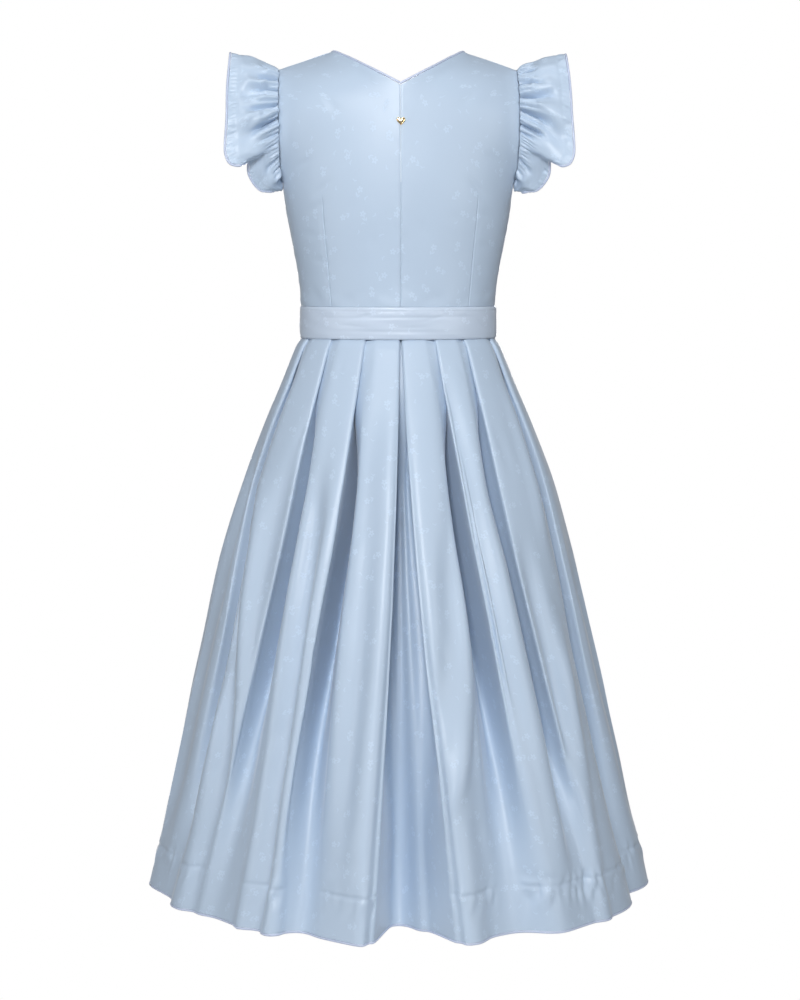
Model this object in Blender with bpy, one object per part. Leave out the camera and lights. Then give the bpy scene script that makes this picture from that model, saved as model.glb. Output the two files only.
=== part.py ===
"""A short-sleeved dirndl dress, worn form with no wearer, in metres with +Z up.

The front faces -Y and the back +Y, and the wearer's left is +X. The origin lies midway
between the two shoulder-neck points, where the dress is held up. All lengths below are in
millimetres until an object is made. The cloth is a thin wall, made row by row from the
tables: bodice panels from a seam to the side and armhole, the skirt from a pleated section
that opens towards the hem, and the frills from the armhole out to their edge.
"""

import math

import bpy
import numpy as np

MM = 0.001
WALL = 1.3  # bodice and frill cloth, with its lining allowance
SKIRT_WALL = 1.5  # measured level; the skirt slopes, so square to the cloth it is less
BAND_WALL = 2.0
SEAM = 0.3  # open between two sewn pieces
PIPING = 3.0  # width of the satin piping

WAIST_TOP, WAIST_LOW = -323.7, -364.2  # the band's edges
HEM = -1074.0

# The bodice back, a row per section from the waist up: the point on the centre seam or
# neckline, the point on the side seam or armhole, then how far the row runs straight out
# of each point and its heading there in plan, 0 along +X and -90 along -Y.
BACK = (
    # in_x in_y   in_z   out_x  out_y out_z  run  head  run  head
    (0, 93.0, -323.4, 124.0, 0, -323.4, 68, 0, 51, -90),
    (0, 92.5, -300.0, 125.8, 0, -300.0, 69, 0, 51, -90),
    (0, 94.0, -270.0, 130.2, 0, -270.0, 72, 0, 52, -90),
    (0, 97.0, -235.0, 136.8, 0, -235.0, 75, 0, 54, -90),
    (0, 99.0, -203.0, 142.6, 0, -205.0, 78, 0, 55, -90),
    (0, 99.0, -165.0, 147.0, 0, -169.0, 80, 0, 55, -90),
    (0, 97.5, -125.0, 149.4, 24, -154.0, 70, -1, 35, -75),
    (0, 94.0, -85.0, 151.0, 40, -127.0, 62, -2, 38, -58),
    (0, 89.5, -48.5, 151.7, 46, -98.0, 60, -4, 40, -50),
    (23, 84.0, -36.0, 151.7, 42, -72.5, 48, -8, 38, -48),
    (46, 68.5, -23.3, 151.7, 31, -51.0, 40, -12, 34, -42),
    (70, 34.5, -9.0, 151.4, 14, -33.0, 28, -10, 28, -25),
    (86, 0.0, -2.5, 151.0, 0, -24.0, 22, 0, 22, 0),
)
# The bodice front, in the same columns, with its depth written as positive.
FRONT = (
    (0, 92.0, -323.4, 124.0, 0, -323.4, 68, 0, 51, -90),
    (0, 95.0, -300.0, 125.8, 0, -300.0, 68, 1, 52, -90),
    (0, 104.0, -270.0, 130.2, 0, -270.0, 68, 4, 58, -90),
    (0, 117.0, -240.0, 136.8, 0, -235.0, 70, 8, 64, -90),
    (0, 128.0, -213.0, 142.6, 0, -205.0, 72, 8, 68, -90),
    (0, 131.0, -190.0, 147.0, 0, -169.0, 72, 7, 62, -88),
    (0, 130.0, -166.0, 146.0, 24, -154.0, 62, 4, 44, -74),
    (34, 128.0, -158.0, 143.5, 40, -130.0, 42, -6, 36, -62),
    (58, 117.0, -138.0, 141.5, 49, -106.0, 32, -16, 30, -56),
    (71, 98.0, -103.0, 142.0, 49, -80.0, 26, -20, 26, -52),
    (78, 68.0, -62.0, 145.0, 39, -56.0, 24, -16, 24, -42),
    (83, 33.0, -24.0, 149.2, 18, -36.0, 24, -8, 24, -24),
    (86, 0.0, -2.5, 151.0, 0, -24.0, 22, 0, 22, 0),
)
UNDERARM = 5  # the row of the side seam's top
# The frill's outer edge, round from the underarm by the back, the shoulder and the front.
# The first column counts rows from the underarm, with 7 at the shoulder and 14 back at
# the underarm. Low on the back the edge turns under and comes out again as a second lobe.
FRILL_EDGE = (
    # row     x      y      z
    (0.00, 155.0, 0.0, -169.0),
    (0.60, 160.0, 18.0, -177.0),
    (1.05, 170.0, 28.0, -178.0),
    (1.45, 182.0, 33.0, -168.5),
    (1.85, 189.0, 36.5, -152.5),
    (2.15, 188.5, 46.0, -139.5),
    (2.35, 192.0, 58.5, -141.5),
    (2.55, 202.5, 68.5, -146.5),
    (2.80, 211.5, 71.0, -144.0),
    (3.10, 216.5, 69.0, -129.5),
    (3.60, 216.0, 63.0, -106.0),
    (4.20, 215.0, 54.0, -82.0),
    (5.00, 214.5, 41.0, -53.0),
    (6.00, 213.0, 22.0, -23.0),
    (7.00, 211.5, 0.0, -4.0),
    (8.00, 213.5, -24.0, -23.0),
    (9.00, 215.0, -46.0, -54.0),
    (10.00, 216.0, -60.0, -86.0),
    (11.00, 208.0, -62.0, -116.0),
    (12.00, 190.0, -46.0, -138.0),
    (13.00, 168.0, -20.0, -157.0),
)
LOBE_AT, LOBE_REACH = 2.3, 1.2  # row of the turned-under edge, and how far it is felt
FRILL_GATHERS = 14  # waves round one armhole
FRILL_COLUMNS = 80
FRILL_ROWS = (
    # share out, wave from the middle, share of it with half as many waves
    (0.0, 1.3, 0.0),
    (0.22, 3.0, 0.15),
    (0.55, 3.6, 0.6),
    (1.0, 3.4, 0.9),
)

# The skirt's outline, a row per level: half width, depth of the back, depth of the front,
# all without the folds' own rise.
SKIRT = (
    # down   wide   back  front
    (0.000, 125.0, 93.0, 92.0),
    (0.040, 136.5, 104.0, 102.0),
    (0.078, 147.0, 115.0, 112.0),
    (0.150, 168.0, 136.0, 131.0),
    (0.260, 196.0, 167.0, 158.0),
    (0.370, 216.0, 191.0, 182.0),
    (0.480, 234.0, 213.0, 202.0),
    (0.620, 255.0, 237.0, 228.0),
    (0.770, 277.0, 262.0, 252.0),
    (0.900, 297.0, 284.0, 274.0),
    (1.000, 312.0, 300.0, 290.0),
)
LEVELS = (0.0, 0.035, 0.085, 0.16, 0.25, 0.35, 0.46, 0.57, 0.68, 0.79, 0.9, 1.0)

# The pleats on the wearer's left, from the centre back to the front: the angle of the
# fold's edge at five levels, how deep its groove is below the outline at three levels, how
# wide the groove is at the hem, and the rise of the panel beyond it at the hem, at its
# edge, near it, halfway and near the next groove.
ANGLE_LEVELS = (0.0, 0.25, 0.5, 0.75, 1.0)
DEPTH_LEVELS = (0.0, 0.25, 0.6, 1.0)
LEFT = (
    # angles                 depths      width  rises
    ((0.7, 2.0, 3.4, 5.4, 7.0), (24, 36, 40), 62, (10, 24, 13, 0)),
    ((21.0, 22.5, 26.5, 29.5, 31.0), (18, 20, 16), 76, (10, 14, 0, -10)),
    ((44.5, 44.0, 47.5, 52.0, 57.0), (15, 13, 12), 70, (-6, -6, -2, 4)),
    ((71.0, 74.5, 71.0, 74.0, 79.0), (15, 14, 9), 60, (-7, -3, 13, 11)),
    ((104.0, 105.0, 107.0, 110.0, 113.0), (14, 18, 16), 66, (5, 11, 6, 0)),
    ((130.0, 130.0, 131.0, 132.0, 134.0), (14, 17, 14), 84, (3, 9, 6, 0)),
    ((155.0, 154.0, 154.0, 154.0, 155.0), (14, 16, 13), 84, (2, 8, 9, 4)),
)
# The pleats on the wearer's right, in the same order and columns.
RIGHT = (
    ((0.7, 2.6, 5.0, 8.4, 10.5), (24, 36, 40), 62, (12, 25, 21, -2)),
    ((20.5, 22.5, 26.5, 29.5, 31.5), (18, 18, 7), 74, (12, 21, 22, 14)),
    ((41.0, 38.5, 42.0, 47.0, 51.0), (16, 13, -8), 60, (11, 12, 12, 6)),
    ((71.0, 71.0, 70.0, 74.0, 80.0), (13, 12, 11), 76, (1, 8, 17, 12)),
    ((105.0, 106.0, 108.0, 111.0, 114.0), (14, 18, 16), 66, (5, 11, 6, 0)),
    ((131.0, 131.0, 132.0, 133.0, 135.0), (14, 17, 14), 84, (4, 10, 5, 1)),
    ((155.5, 155.0, 155.0, 156.0, 157.0), (14, 16, 12), 84, (3, 9, 6, 4)),
)
SIDE_PANEL = 3  # the panel that holds the side seam, at 90 degrees
OVERLAP = 14.0  # how far a pressed pleat lies under its neighbour at the waist
OPEN_BY = 0.42  # the level below which the pleats stand open
# The pressed underlay and the open groove, a row per point from the far side of the groove
# round to the fold's edge. Pressed: mm past the edge as a share of the overlap, and mm
# down. Open: share of the groove's width back from the edge, and share of its depth.
UNDERLAY = (
    # pressed       open
    (-0.64, -1.6, 1.00, 0.35),
    (-0.10, -5.2, 0.74, 0.76),
    (0.45, -6.5, 0.54, 0.97),
    (0.86, -6.6, 0.38, 1.00),
    (1.00, -5.1, 0.26, 0.90),
    (0.86, -3.6, 0.17, 0.66),
    (0.40, -3.4, 0.10, 0.36),
    (0.10, -3.2, 0.045, 0.12),
)
PANEL_SHARES = (0.13, 0.42, 0.72)  # where a panel's rises near its edge, halfway and far lie

HEART_AT = (0.0, -92.0)  # x and z of the stud on the centre-back seam
HEART_WIDE, HEART_TALL, HEART_DEEP = 10.5, 11.0, 2.4


def clear_scene():
    for item in list(bpy.data.objects):
        bpy.data.objects.remove(item, do_unlink=True)


def hermite(xs, ys, x):
    """Smooth curve through the points (xs, ys), with no overshoot between them."""
    xs, ys = np.asarray(xs, float), np.asarray(ys, float)
    step = np.diff(xs)
    slope = np.diff(ys) / step
    m = np.zeros(len(xs))
    m[0], m[-1] = slope[0], slope[-1]
    same = slope[:-1] * slope[1:] > 0
    m[1:-1][same] = 2 * slope[:-1][same] * slope[1:][same] / (slope[:-1] + slope[1:])[same]
    x = np.clip(np.asarray(x, float), xs[0], xs[-1])
    i = np.clip(np.searchsorted(xs, x, side="right") - 1, 0, len(step) - 1)
    t = (x - xs[i]) / step[i]
    return (
        ys[i] * (2 * t**3 - 3 * t**2 + 1)
        + m[i] * step[i] * (t**3 - 2 * t**2 + t)
        + ys[i + 1] * (3 * t**2 - 2 * t**3)
        + m[i + 1] * step[i] * (t**3 - t**2)
    )


def ease(x):
    x = min(max(x, 0.0), 1.0)
    return x * x * (3 - 2 * x)


def unit(v):
    return v / np.maximum(np.linalg.norm(v, axis=-1, keepdims=True), 1e-9)


def add_mesh(name, points, faces, material, collection):
    mesh = bpy.data.meshes.new(name)
    mesh.from_pydata((np.asarray(points) * MM).tolist(), [], faces)
    corners = np.asarray(points, float)
    volume = 0.0
    for face in faces:
        for k in range(1, len(face) - 1):
            a, b, c = corners[face[0]], corners[face[k]], corners[face[k + 1]]
            volume += float(np.dot(a, np.cross(b, c)))
    if volume < 0:
        mesh.flip_normals()
    mesh.materials.append(material)
    for polygon in mesh.polygons:
        polygon.use_smooth = True
    made = bpy.data.objects.new(name, mesh)
    collection.objects.link(made)
    return made


def sheet_solid(name, outer, inner, material, collection, ring=False):
    """Closed cloth between two grids of points: rows, then columns. A ring joins up."""
    rows, cols = outer.shape[:2]
    size = rows * cols
    faces = []
    last = cols if ring else cols - 1
    for r in range(rows - 1):
        for c in range(last):
            a, b = r * cols + c, r * cols + (c + 1) % cols
            faces.append((a, b, b + cols, a + cols))
            faces.append((a + size + cols, b + size + cols, b + size, a + size))
    for r in (0, rows - 1):
        for c in range(last):
            a, b = r * cols + c, r * cols + (c + 1) % cols
            edge = (b, a, a + size, b + size)
            faces.append(edge if r == 0 else edge[::-1])
    if not ring:
        for c in (0, cols - 1):
            for r in range(rows - 1):
                a = r * cols + c
                edge = (a, a + cols, a + cols + size, a + size)
                faces.append(edge if c == 0 else edge[::-1])
    points = np.concatenate([outer.reshape(-1, 3), inner.reshape(-1, 3)])
    return add_mesh(name, points, faces, material, collection)


def tube_solid(name, path, sides, radius, material, collection, up, ring=False):
    """Piping: a closed tube along the path, its section turned by the `up` directions."""
    path = np.asarray(path, float)
    if ring:
        along = unit(np.roll(path, -1, 0) - np.roll(path, 1, 0))
    else:
        along = unit(np.gradient(path, axis=0))
        for end in (0, -1):
            # Every open end lies in the plane between front and back.
            along[end] = (0, np.sign(along[end, 1]), 0)
    side = unit(np.cross(along, up))
    top = unit(np.cross(side, along))
    angles = 2 * math.pi * (np.arange(sides) + 0.5) / sides
    loops = path[:, None] + radius * (
        np.cos(angles)[None, :, None] * side[:, None] + np.sin(angles)[None, :, None] * top[:, None]
    )
    count = len(path)
    faces = []
    for k in range(count if ring else count - 1):
        a, b = k * sides, (k + 1) % count * sides
        for s in range(sides):
            t = (s + 1) % sides
            faces.append((a + s, a + t, b + t, b + s))
    if not ring:
        faces.append(tuple(range(sides))[::-1])
        faces.append(tuple((count - 1) * sides + s for s in range(sides)))
    return add_mesh(name, loops.reshape(-1, 3), faces, material, collection)


def square_away(edge, inside, ring=False):
    """Directions from an edge line away from the cloth, square to the edge."""
    if ring:
        along = unit(np.roll(edge, -1, 0) - np.roll(edge, 1, 0))
    else:
        along = unit(np.gradient(edge, axis=0))
    away = edge - inside
    return unit(away - along * np.sum(away * along, axis=1, keepdims=True))


def grid_normals(points):
    along = np.gradient(points, axis=0)
    across = np.gradient(points, axis=1)
    return unit(np.cross(across, along))


# ---------------------------------------------------------------- bodice


def bodice_row(row, shares):
    """One row of a panel: a bent line from its seam or neckline to its side or armhole."""
    in_x, in_y, in_z, out_x, out_y, out_z, run_in, head_in, run_out, head_out = row
    a, d = np.array([in_x, in_y, in_z], float), np.array([out_x, out_y, out_z], float)
    h_in, h_out = math.radians(head_in), math.radians(head_out)
    third = (out_z - in_z) / 3
    b = a + (run_in * math.cos(h_in), run_in * math.sin(h_in), third)
    c = d - (run_out * math.cos(h_out), run_out * math.sin(h_out), third)
    t = np.asarray(shares)[:, None]
    return a * (1 - t) ** 3 + 3 * b * t * (1 - t) ** 2 + 3 * c * t**2 * (1 - t) + d * t**3


def bodice_panel(table, x_sign, y_sign, columns=9):
    """Outer and inner points of one bodice panel, with half a seam open at each seam."""
    shares = np.linspace(0, 1, columns)
    grid = np.array([bodice_row(row, shares) for row in table])
    normal = grid_normals(grid)
    if normal[2, 4, 1] < 0:
        normal = -normal
    on_seam = np.array([row[0] == 0 for row in table])
    normal[on_seam, 0, 0] = 0
    normal[: UNDERARM + 1, -1] = (1, 0, 0)
    normal[-1, :, 1] = 0
    normal = unit(normal)
    inner = grid - normal * WALL
    for points in (grid, inner):
        points[on_seam, 0, 0] = SEAM / 2
        points[: UNDERARM + 1, -1, 1] = SEAM / 2
        points[-1, :, 1] = SEAM / 2
    sign = np.array([x_sign, y_sign, 1])
    return grid * sign, inner * sign, normal * sign


def neck_path(outer, inner, start):
    """Points half a piping and a seam above the neckline edge, in the wall's middle."""
    middle = (outer + inner) / 2
    edge = middle[start:, 0]
    away = square_away(edge, middle[start:, 1])
    away[0] = unit(away[0] * (0, 1, 1))
    gap = np.full((len(edge), 1), PIPING / 2 + SEAM + 0.1)
    gap[0] *= 1.25
    return edge + away * gap, unit(outer - inner)[start:, 0]


# ---------------------------------------------------------------- frills


def armhole(x_sign):
    """The armhole edge, round from the underarm by the back: one point to a row."""
    back = [row[3:6] for row in BACK[UNDERARM:]]
    front = [(row[3], -row[4], row[5]) for row in FRONT[UNDERARM + 1 : -1]][::-1]
    return np.array(back + front) * np.array([x_sign, 1, 1])


def frill_edge(x_sign, rows):
    """The frill's outer edge at these rows from the underarm."""
    table = np.array(FRILL_EDGE)
    turn = np.array([14.0, 0, 0, 0])
    table = np.concatenate([table[-3:] - turn, table, table[:3] + turn])
    edge = np.stack([hermite(table[:, 0], table[:, k], rows) for k in (1, 2, 3)], 1)
    return edge * np.array([x_sign, 1, 1])


def round_curve(points, steps=12):
    """The closed smooth line through the points, with `steps` pieces to each gap."""
    fine = []
    n = len(points)
    for i in range(n):
        p0, p1, p2, p3 = (points[(i + k) % n] for k in (-1, 0, 1, 2))
        for t in np.linspace(0, 1, steps, endpoint=False):
            fine.append(
                0.5
                * (
                    2 * p1
                    + (p2 - p0) * t
                    + (2 * p0 - 5 * p1 + 4 * p2 - p3) * t**2
                    + (3 * p1 - p0 - 3 * p2 + p3) * t**3
                )
            )
    return np.array(fine)


def near_lobe(rows):
    """1 where the frill's edge turns under, falling softly to 0 on both sides."""
    off = np.minimum(np.abs(rows - LOBE_AT) / LOBE_REACH, 1)
    return (1 - off * off) ** 2


def frill(x_sign):
    """Middle surface, wall sides and edge of one frill: rows from the armhole outwards."""
    seam = round_curve(armhole(x_sign))
    lengths = np.linalg.norm(np.roll(seam, -1, 0) - seam, axis=1)
    # Columns stand closer together round the lobe.
    spot = np.arange(len(seam)) / 12
    dense = lengths * (1 + 1.5 * near_lobe(spot))
    along = np.concatenate([[0], np.cumsum(lengths)])
    packed = np.concatenate([[0], np.cumsum(dense)])
    at = np.linspace(0, packed[-1], FRILL_COLUMNS, endpoint=False)
    index = np.interp(at, packed, np.arange(len(packed)))
    rows_at = index / 12
    turn = 2 * math.pi * np.interp(at, packed, along) / along[-1]
    wrap = np.arange(len(seam) + 1) % len(seam)
    seam = np.stack([np.interp(index, np.arange(len(wrap)), seam[wrap, k]) for k in range(3)], 1)
    edge = frill_edge(x_sign, rows_at)
    seam = seam + unit(edge - seam) * (WALL / 2 + SEAM)
    shares = np.array([row[0] for row in FRILL_ROWS])
    base = seam[None] + (edge - seam)[None] * shares[:, None, None]
    around = np.roll(base, -1, 1) - np.roll(base, 1, 1)
    normal = unit(np.cross(around, np.gradient(base, axis=0)))
    if np.sum(normal * (base - seam.mean(0))) < 0:
        normal = -normal
    wave = np.sin(FRILL_GATHERS * turn + 0.6 * np.sin(2 * turn + 0.5))
    half = np.sin(FRILL_GATHERS / 2 * turn + 0.7 * np.sin(3 * turn))
    calm = 1 - 0.75 * near_lobe(rows_at)
    lift = []
    for share, height, slow in FRILL_ROWS:
        bow = 4.0 * math.sin(math.pi * share)
        lift.append(calm * (height * ((1 - slow) * wave + slow * half) + bow))
    grid = base + normal * np.array(lift)[..., None]
    around = np.roll(grid, -1, 1) - np.roll(grid, 1, 1)
    normal = unit(np.cross(around, np.gradient(grid, axis=0)))
    return grid, grid + normal * WALL / 2, grid - normal * WALL / 2, normal


# ---------------------------------------------------------------- skirt


def outline(level, degrees):
    """Point of the skirt's smooth outline, with its outward direction and its stretch."""
    down = [row[0] for row in SKIRT]
    wide, back, front = (hermite(down, [row[k] for row in SKIRT], level) for k in (1, 2, 3))
    angle = np.radians(degrees)
    deep = np.where(np.cos(angle) >= 0, back, front)
    point = np.stack([wide * np.sin(angle), deep * np.cos(angle)], -1)
    outward = unit(np.stack([np.sin(angle) / wide, np.cos(angle) / deep], -1))
    stretch = np.hypot(wide * np.cos(angle), deep * np.sin(angle)) * math.pi / 180
    return point, outward, stretch


def half_section(level, table):
    """(angle, rise) of each point of one half, from the centre back to the centre front."""
    closed = 1 - ease(level / OPEN_BY)
    swell = level**1.25
    edges, depths, widths = [], [], []
    for angles, deep, wide, _ in table:
        edges.append(float(hermite(ANGLE_LEVELS, angles, level)))
        depths.append(float(hermite(DEPTH_LEVELS, (6.0, *deep), level)))
        widths.append(14 + (wide - 14) * level**1.3)
    rises = [[r * swell for r in row[3]] for row in table]
    points = []
    for k, edge in enumerate(edges):
        stretch = float(outline(level, edge)[2])
        before = rises[k - 1][3] if k else 0.0
        if k == 0:
            # The centre pleat is inverted, so its two halves meet at the middle.
            points.append((0.0, -6.6 * closed - depths[0] * (1 - closed)))
        for step, (past, low, back, part) in enumerate(UNDERLAY):
            if k == 0 and step < 3:
                continue
            reach = edge if k == 0 else widths[k] / stretch
            # The groove's wall is steep where the fold is still crisp, and soft at the hem.
            back **= 1.35 - 0.35 * level
            open_angle = edge - min(back * (1.4 if k == 0 else 1), 0.9) * reach
            far = 1 - part
            open_rise = -depths[k] * part + before * far * (back > 0.3)
            open_rise += rises[k][0] * far * (back <= 0.3)
            angle = closed * (edge + past * OVERLAP / stretch) + (1 - closed) * open_angle
            points.append((angle, closed * low + (1 - closed) * open_rise))
        # The fold's edge, then the panel beyond it.
        points.append((edge, -1.7 * closed + rises[k][0] - 0.4))
        points.append((edge + (1.4 + 2.5 * level) / stretch, rises[k][0] + 0.6))
        ahead = edges[k + 1] if k + 1 < len(edges) else 180.0
        near = widths[k + 1] / float(outline(level, ahead)[2]) if k + 1 < len(edges) else 0.0
        near = near * (1 - closed) + closed * 0.64 * OVERLAP / stretch
        room = ahead - near - edge
        for share, rise in zip(PANEL_SHARES, rises[k][1:]):
            angle = edge + share / 0.86 * room
            if k == SIDE_PANEL and share == PANEL_SHARES[1]:
                angle = 90.0
            points.append((angle, rise + 1.0 * (1 - level)))
    points.append((180.0, rises[-1][3] + 1.0 * (1 - level)))
    return points


def skirt_ring(level):
    """The cloth's middle line at one level, its two sides, and where the side seams are."""
    left, right = half_section(level, LEFT), half_section(level, RIGHT)
    ring = [(-a, r) for a, r in right[:0:-1]] + left[:-1]
    angles = np.array([a for a, _ in ring])
    rises = np.array([r for _, r in ring])
    point, outward, _ = outline(level, angles)
    middle = point + outward * rises[:, None]
    ahead = unit(np.roll(middle, -1, 0) - middle)
    behind = np.roll(ahead, 1, 0)
    square_a = np.stack([-ahead[:, 1], ahead[:, 0]], 1)
    square_b = np.stack([-behind[:, 1], behind[:, 0]], 1)
    both = square_a + square_b
    mitre = both / np.maximum((1 + np.sum(square_a * square_b, 1))[:, None], 0.45)
    outer = middle + mitre * SKIRT_WALL / 2
    inner = middle - mitre * SKIRT_WALL / 2
    z = WAIST_LOW - SEAM + (HEM - WAIST_LOW + SEAM) * level
    lift = np.full((len(ring), 1), z)
    seams = [int(np.argmin(np.abs(angles + 90))), int(np.argmin(np.abs(angles - 90)))]
    return [np.hstack([line, lift]) for line in (outer, inner, middle)], seams


def split_ring(grid, first, last, open_by):
    """Columns first..last of a ring, its two end columns drawn in by half a seam."""
    cols = grid.shape[1]
    count = (last - first) % cols + 1
    part = grid[:, [(first + k) % cols for k in range(count)]].copy()
    part[:, 0] += unit(part[:, 1] - part[:, 0]) * open_by
    part[:, -1] += unit(part[:, -2] - part[:, -1]) * open_by
    return part


# ---------------------------------------------------------------- waistband and stud


def band_half(y_sign, columns=21):
    """Outer and inner points of half the waistband, from side seam to side seam."""
    levels = (
        # down  proud
        (0.0, 0.2),
        (0.06, 1.3),
        (0.5, 1.7),
        (0.93, 1.4),
        (1.0, 0.4),
    )
    deep = 93.0 if y_sign > 0 else 92.0
    angle = np.radians(np.linspace(-90, 90, columns))
    outer, inner = [], []
    for share, proud in levels:
        z = WAIST_TOP + (WAIST_LOW - WAIST_TOP) * share
        for grid, off in ((outer, proud), (inner, proud - BAND_WALL)):
            x = (124.4 + off) * np.sin(angle)
            y = (deep + 0.4 + off) * np.cos(angle)
            y[0] = y[-1] = SEAM / 2
            grid.append(np.stack([x, y * y_sign, np.full(columns, z)], 1))
    return np.array(outer), np.array(inner)


def heart_outline(count):
    t = 2 * math.pi * np.arange(count) / count
    x = np.sin(t) ** 3
    z = (13 * np.cos(t) - 5 * np.cos(2 * t) - 2 * np.cos(3 * t) - np.cos(4 * t)) / 16
    return x * HEART_WIDE / 2, (z + 0.15) * HEART_TALL / 2


def heart_solid(name, material, collection, back_y):
    """A smooth domed heart with a low rim, 0.3 mm off the cloth."""
    count = 24
    x, z = heart_outline(count)
    loops = (
        # scale, out from the cloth
        (0.92, 0.0),
        (1.0, 0.5),
        (1.0, 1.3),
        (0.88, 1.7),
        (0.80, 1.4),
        (0.55, 2.1),
    )
    points = []
    for scale, out in loops:
        for k in range(count):
            points.append((HEART_AT[0] - x[k] * scale, back_y + SEAM + out, HEART_AT[1] + z[k] * scale))
    faces = [tuple(range(count))[::-1]]
    for row in range(len(loops) - 1):
        for k in range(count):
            a, b = row * count + k, row * count + (k + 1) % count
            faces.append((a, b, b + count, a + count))
    middle = len(points)
    points.append((HEART_AT[0], back_y + SEAM + HEART_DEEP, HEART_AT[1] + 0.4))
    top = (len(loops) - 1) * count
    for k in range(count):
        faces.append((top + k, top + (k + 1) % count, middle))
    return add_mesh(name, points, faces, material, collection)


# ---------------------------------------------------------------- materials and assembly


def cloth(name, colour, roughness):
    made = bpy.data.materials.new(name)
    made.use_nodes = True
    shader = made.node_tree.nodes["Principled BSDF"]
    shader.inputs["Base Color"].default_value = (*colour, 1)
    shader.inputs["Roughness"].default_value = roughness
    return made


def main():
    clear_scene()
    collection = bpy.data.collections.new("Dirndl")
    bpy.context.scene.collection.children.link(collection)

    necks = {}
    for side, x_sign in (("left", 1), ("right", -1)):
        for face, table, y_sign in (("back", BACK, 1), ("front", FRONT, -1)):
            outer, inner, _ = bodice_panel(table, x_sign, y_sign)
            name = f"bodice_{face}_{side}"
            satin = cloth(name, (0.50, 0.60, 0.72), 0.42)
            sheet_solid(name, outer, inner, satin, collection)
            start = 8 if face == "back" else 6
            necks[face, side] = neck_path(outer, inner, start)

    for face in ("back", "front"):
        left, up_left = necks[face, "left"]
        right, up_right = necks[face, "right"]
        path = np.concatenate([right[::-1], left[1:]])
        up = np.concatenate([up_right[::-1], up_left[1:]])
        middle = len(right) - 1
        path[middle, 0] = 0
        up[middle] = unit(up[middle] * (0, 1, 1))
        path[[0, -1], 1] = SEAM / 2 if face == "back" else -SEAM / 2
        name = f"neck_piping_{face}"
        material = cloth(name, (0.42, 0.50, 0.64), 0.35)
        tube_solid(name, path, 6, PIPING / 2, material, collection, up)

    for side, x_sign in (("left", 1), ("right", -1)):
        grid, one, two, normal = frill(x_sign)
        name = f"frill_{side}"
        material = cloth(name, (0.52, 0.62, 0.75), 0.45)
        sheet_solid(name, one, two, material, collection, ring=True)
        name = f"frill_piping_{side}"
        material = cloth(name, (0.58, 0.64, 0.78), 0.35)
        away = square_away(grid[-1], grid[-2], ring=True)
        path = grid[-1] + away * (PIPING / 2 + SEAM + 0.1)
        tube_solid(name, path, 5, PIPING / 2, material, collection, normal[-1], ring=True)

    for face, y_sign in (("back", 1), ("front", -1)):
        outer, inner = band_half(y_sign)
        name = f"waistband_{face}"
        sheet_solid(name, outer, inner, cloth(name, (0.55, 0.65, 0.77), 0.3), collection)

    rings = [skirt_ring(level) for level in LEVELS]
    outer, inner, middle = (np.array([ring[0][k] for ring in rings]) for k in range(3))
    right_seam, left_seam = rings[0][1]
    for face, first, last in (("back", right_seam, left_seam), ("front", left_seam, right_seam)):
        name = f"skirt_{face}"
        material = cloth(name, (0.48, 0.58, 0.70), 0.42)
        parts = [split_ring(grid, first, last, SEAM / 2) for grid in (outer, inner)]
        sheet_solid(name, *parts, material, collection)
        path = split_ring(middle[-1:], first, last, SEAM / 2)[0]
        path[:, 2] -= PIPING / 2 + SEAM
        name = f"hem_piping_{face}"
        up = np.tile([0.0, 0.0, 1.0], (len(path), 1))
        tube_solid(name, path, 4, PIPING / 2, cloth(name, (0.6, 0.66, 0.8), 0.35), collection, up)

    brass = cloth("heart_stud", (0.72, 0.47, 0.16), 0.28)
    brass.node_tree.nodes["Principled BSDF"].inputs["Metallic"].default_value = 1.0
    heart_solid("heart_stud", brass, collection, 95.0)


main()
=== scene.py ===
"""The dirndl dress in its worn form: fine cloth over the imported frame, in metres, +Z up."""

import math
from functools import partial

import bpy
import numpy as np
from mathutils import Matrix, Vector


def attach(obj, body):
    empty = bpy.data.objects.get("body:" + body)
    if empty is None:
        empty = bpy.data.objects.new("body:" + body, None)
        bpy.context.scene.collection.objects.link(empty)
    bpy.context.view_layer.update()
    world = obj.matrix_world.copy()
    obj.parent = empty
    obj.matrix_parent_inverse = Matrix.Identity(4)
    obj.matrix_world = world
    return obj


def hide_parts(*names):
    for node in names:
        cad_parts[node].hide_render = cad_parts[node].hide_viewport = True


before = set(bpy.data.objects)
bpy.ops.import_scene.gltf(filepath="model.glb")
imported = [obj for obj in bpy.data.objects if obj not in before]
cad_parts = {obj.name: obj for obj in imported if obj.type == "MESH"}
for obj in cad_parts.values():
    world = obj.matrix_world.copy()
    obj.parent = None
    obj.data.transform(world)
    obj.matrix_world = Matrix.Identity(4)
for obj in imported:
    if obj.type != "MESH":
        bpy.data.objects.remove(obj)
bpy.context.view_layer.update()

MM = 0.001
# ------ camera
# The photograph's camera stands behind the dress, level with the waist, a little to the
# wearer's left, 3.4 m away. Lengths here are in millimetres and image sizes in pixels.
FOCAL_PX, FRAME_PX, FILM_MM = 2645.0, 1000, 36
CAMERA_MM = np.array([118.66, 3397.93, -270.0])
PITCH, YAW = math.radians(5.099), math.radians(-0.039)
CLIP_END_M = 50


def add_object(name, data):
    made = bpy.data.objects.new(name, data)
    bpy.context.scene.collection.objects.link(made)
    return made


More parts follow.
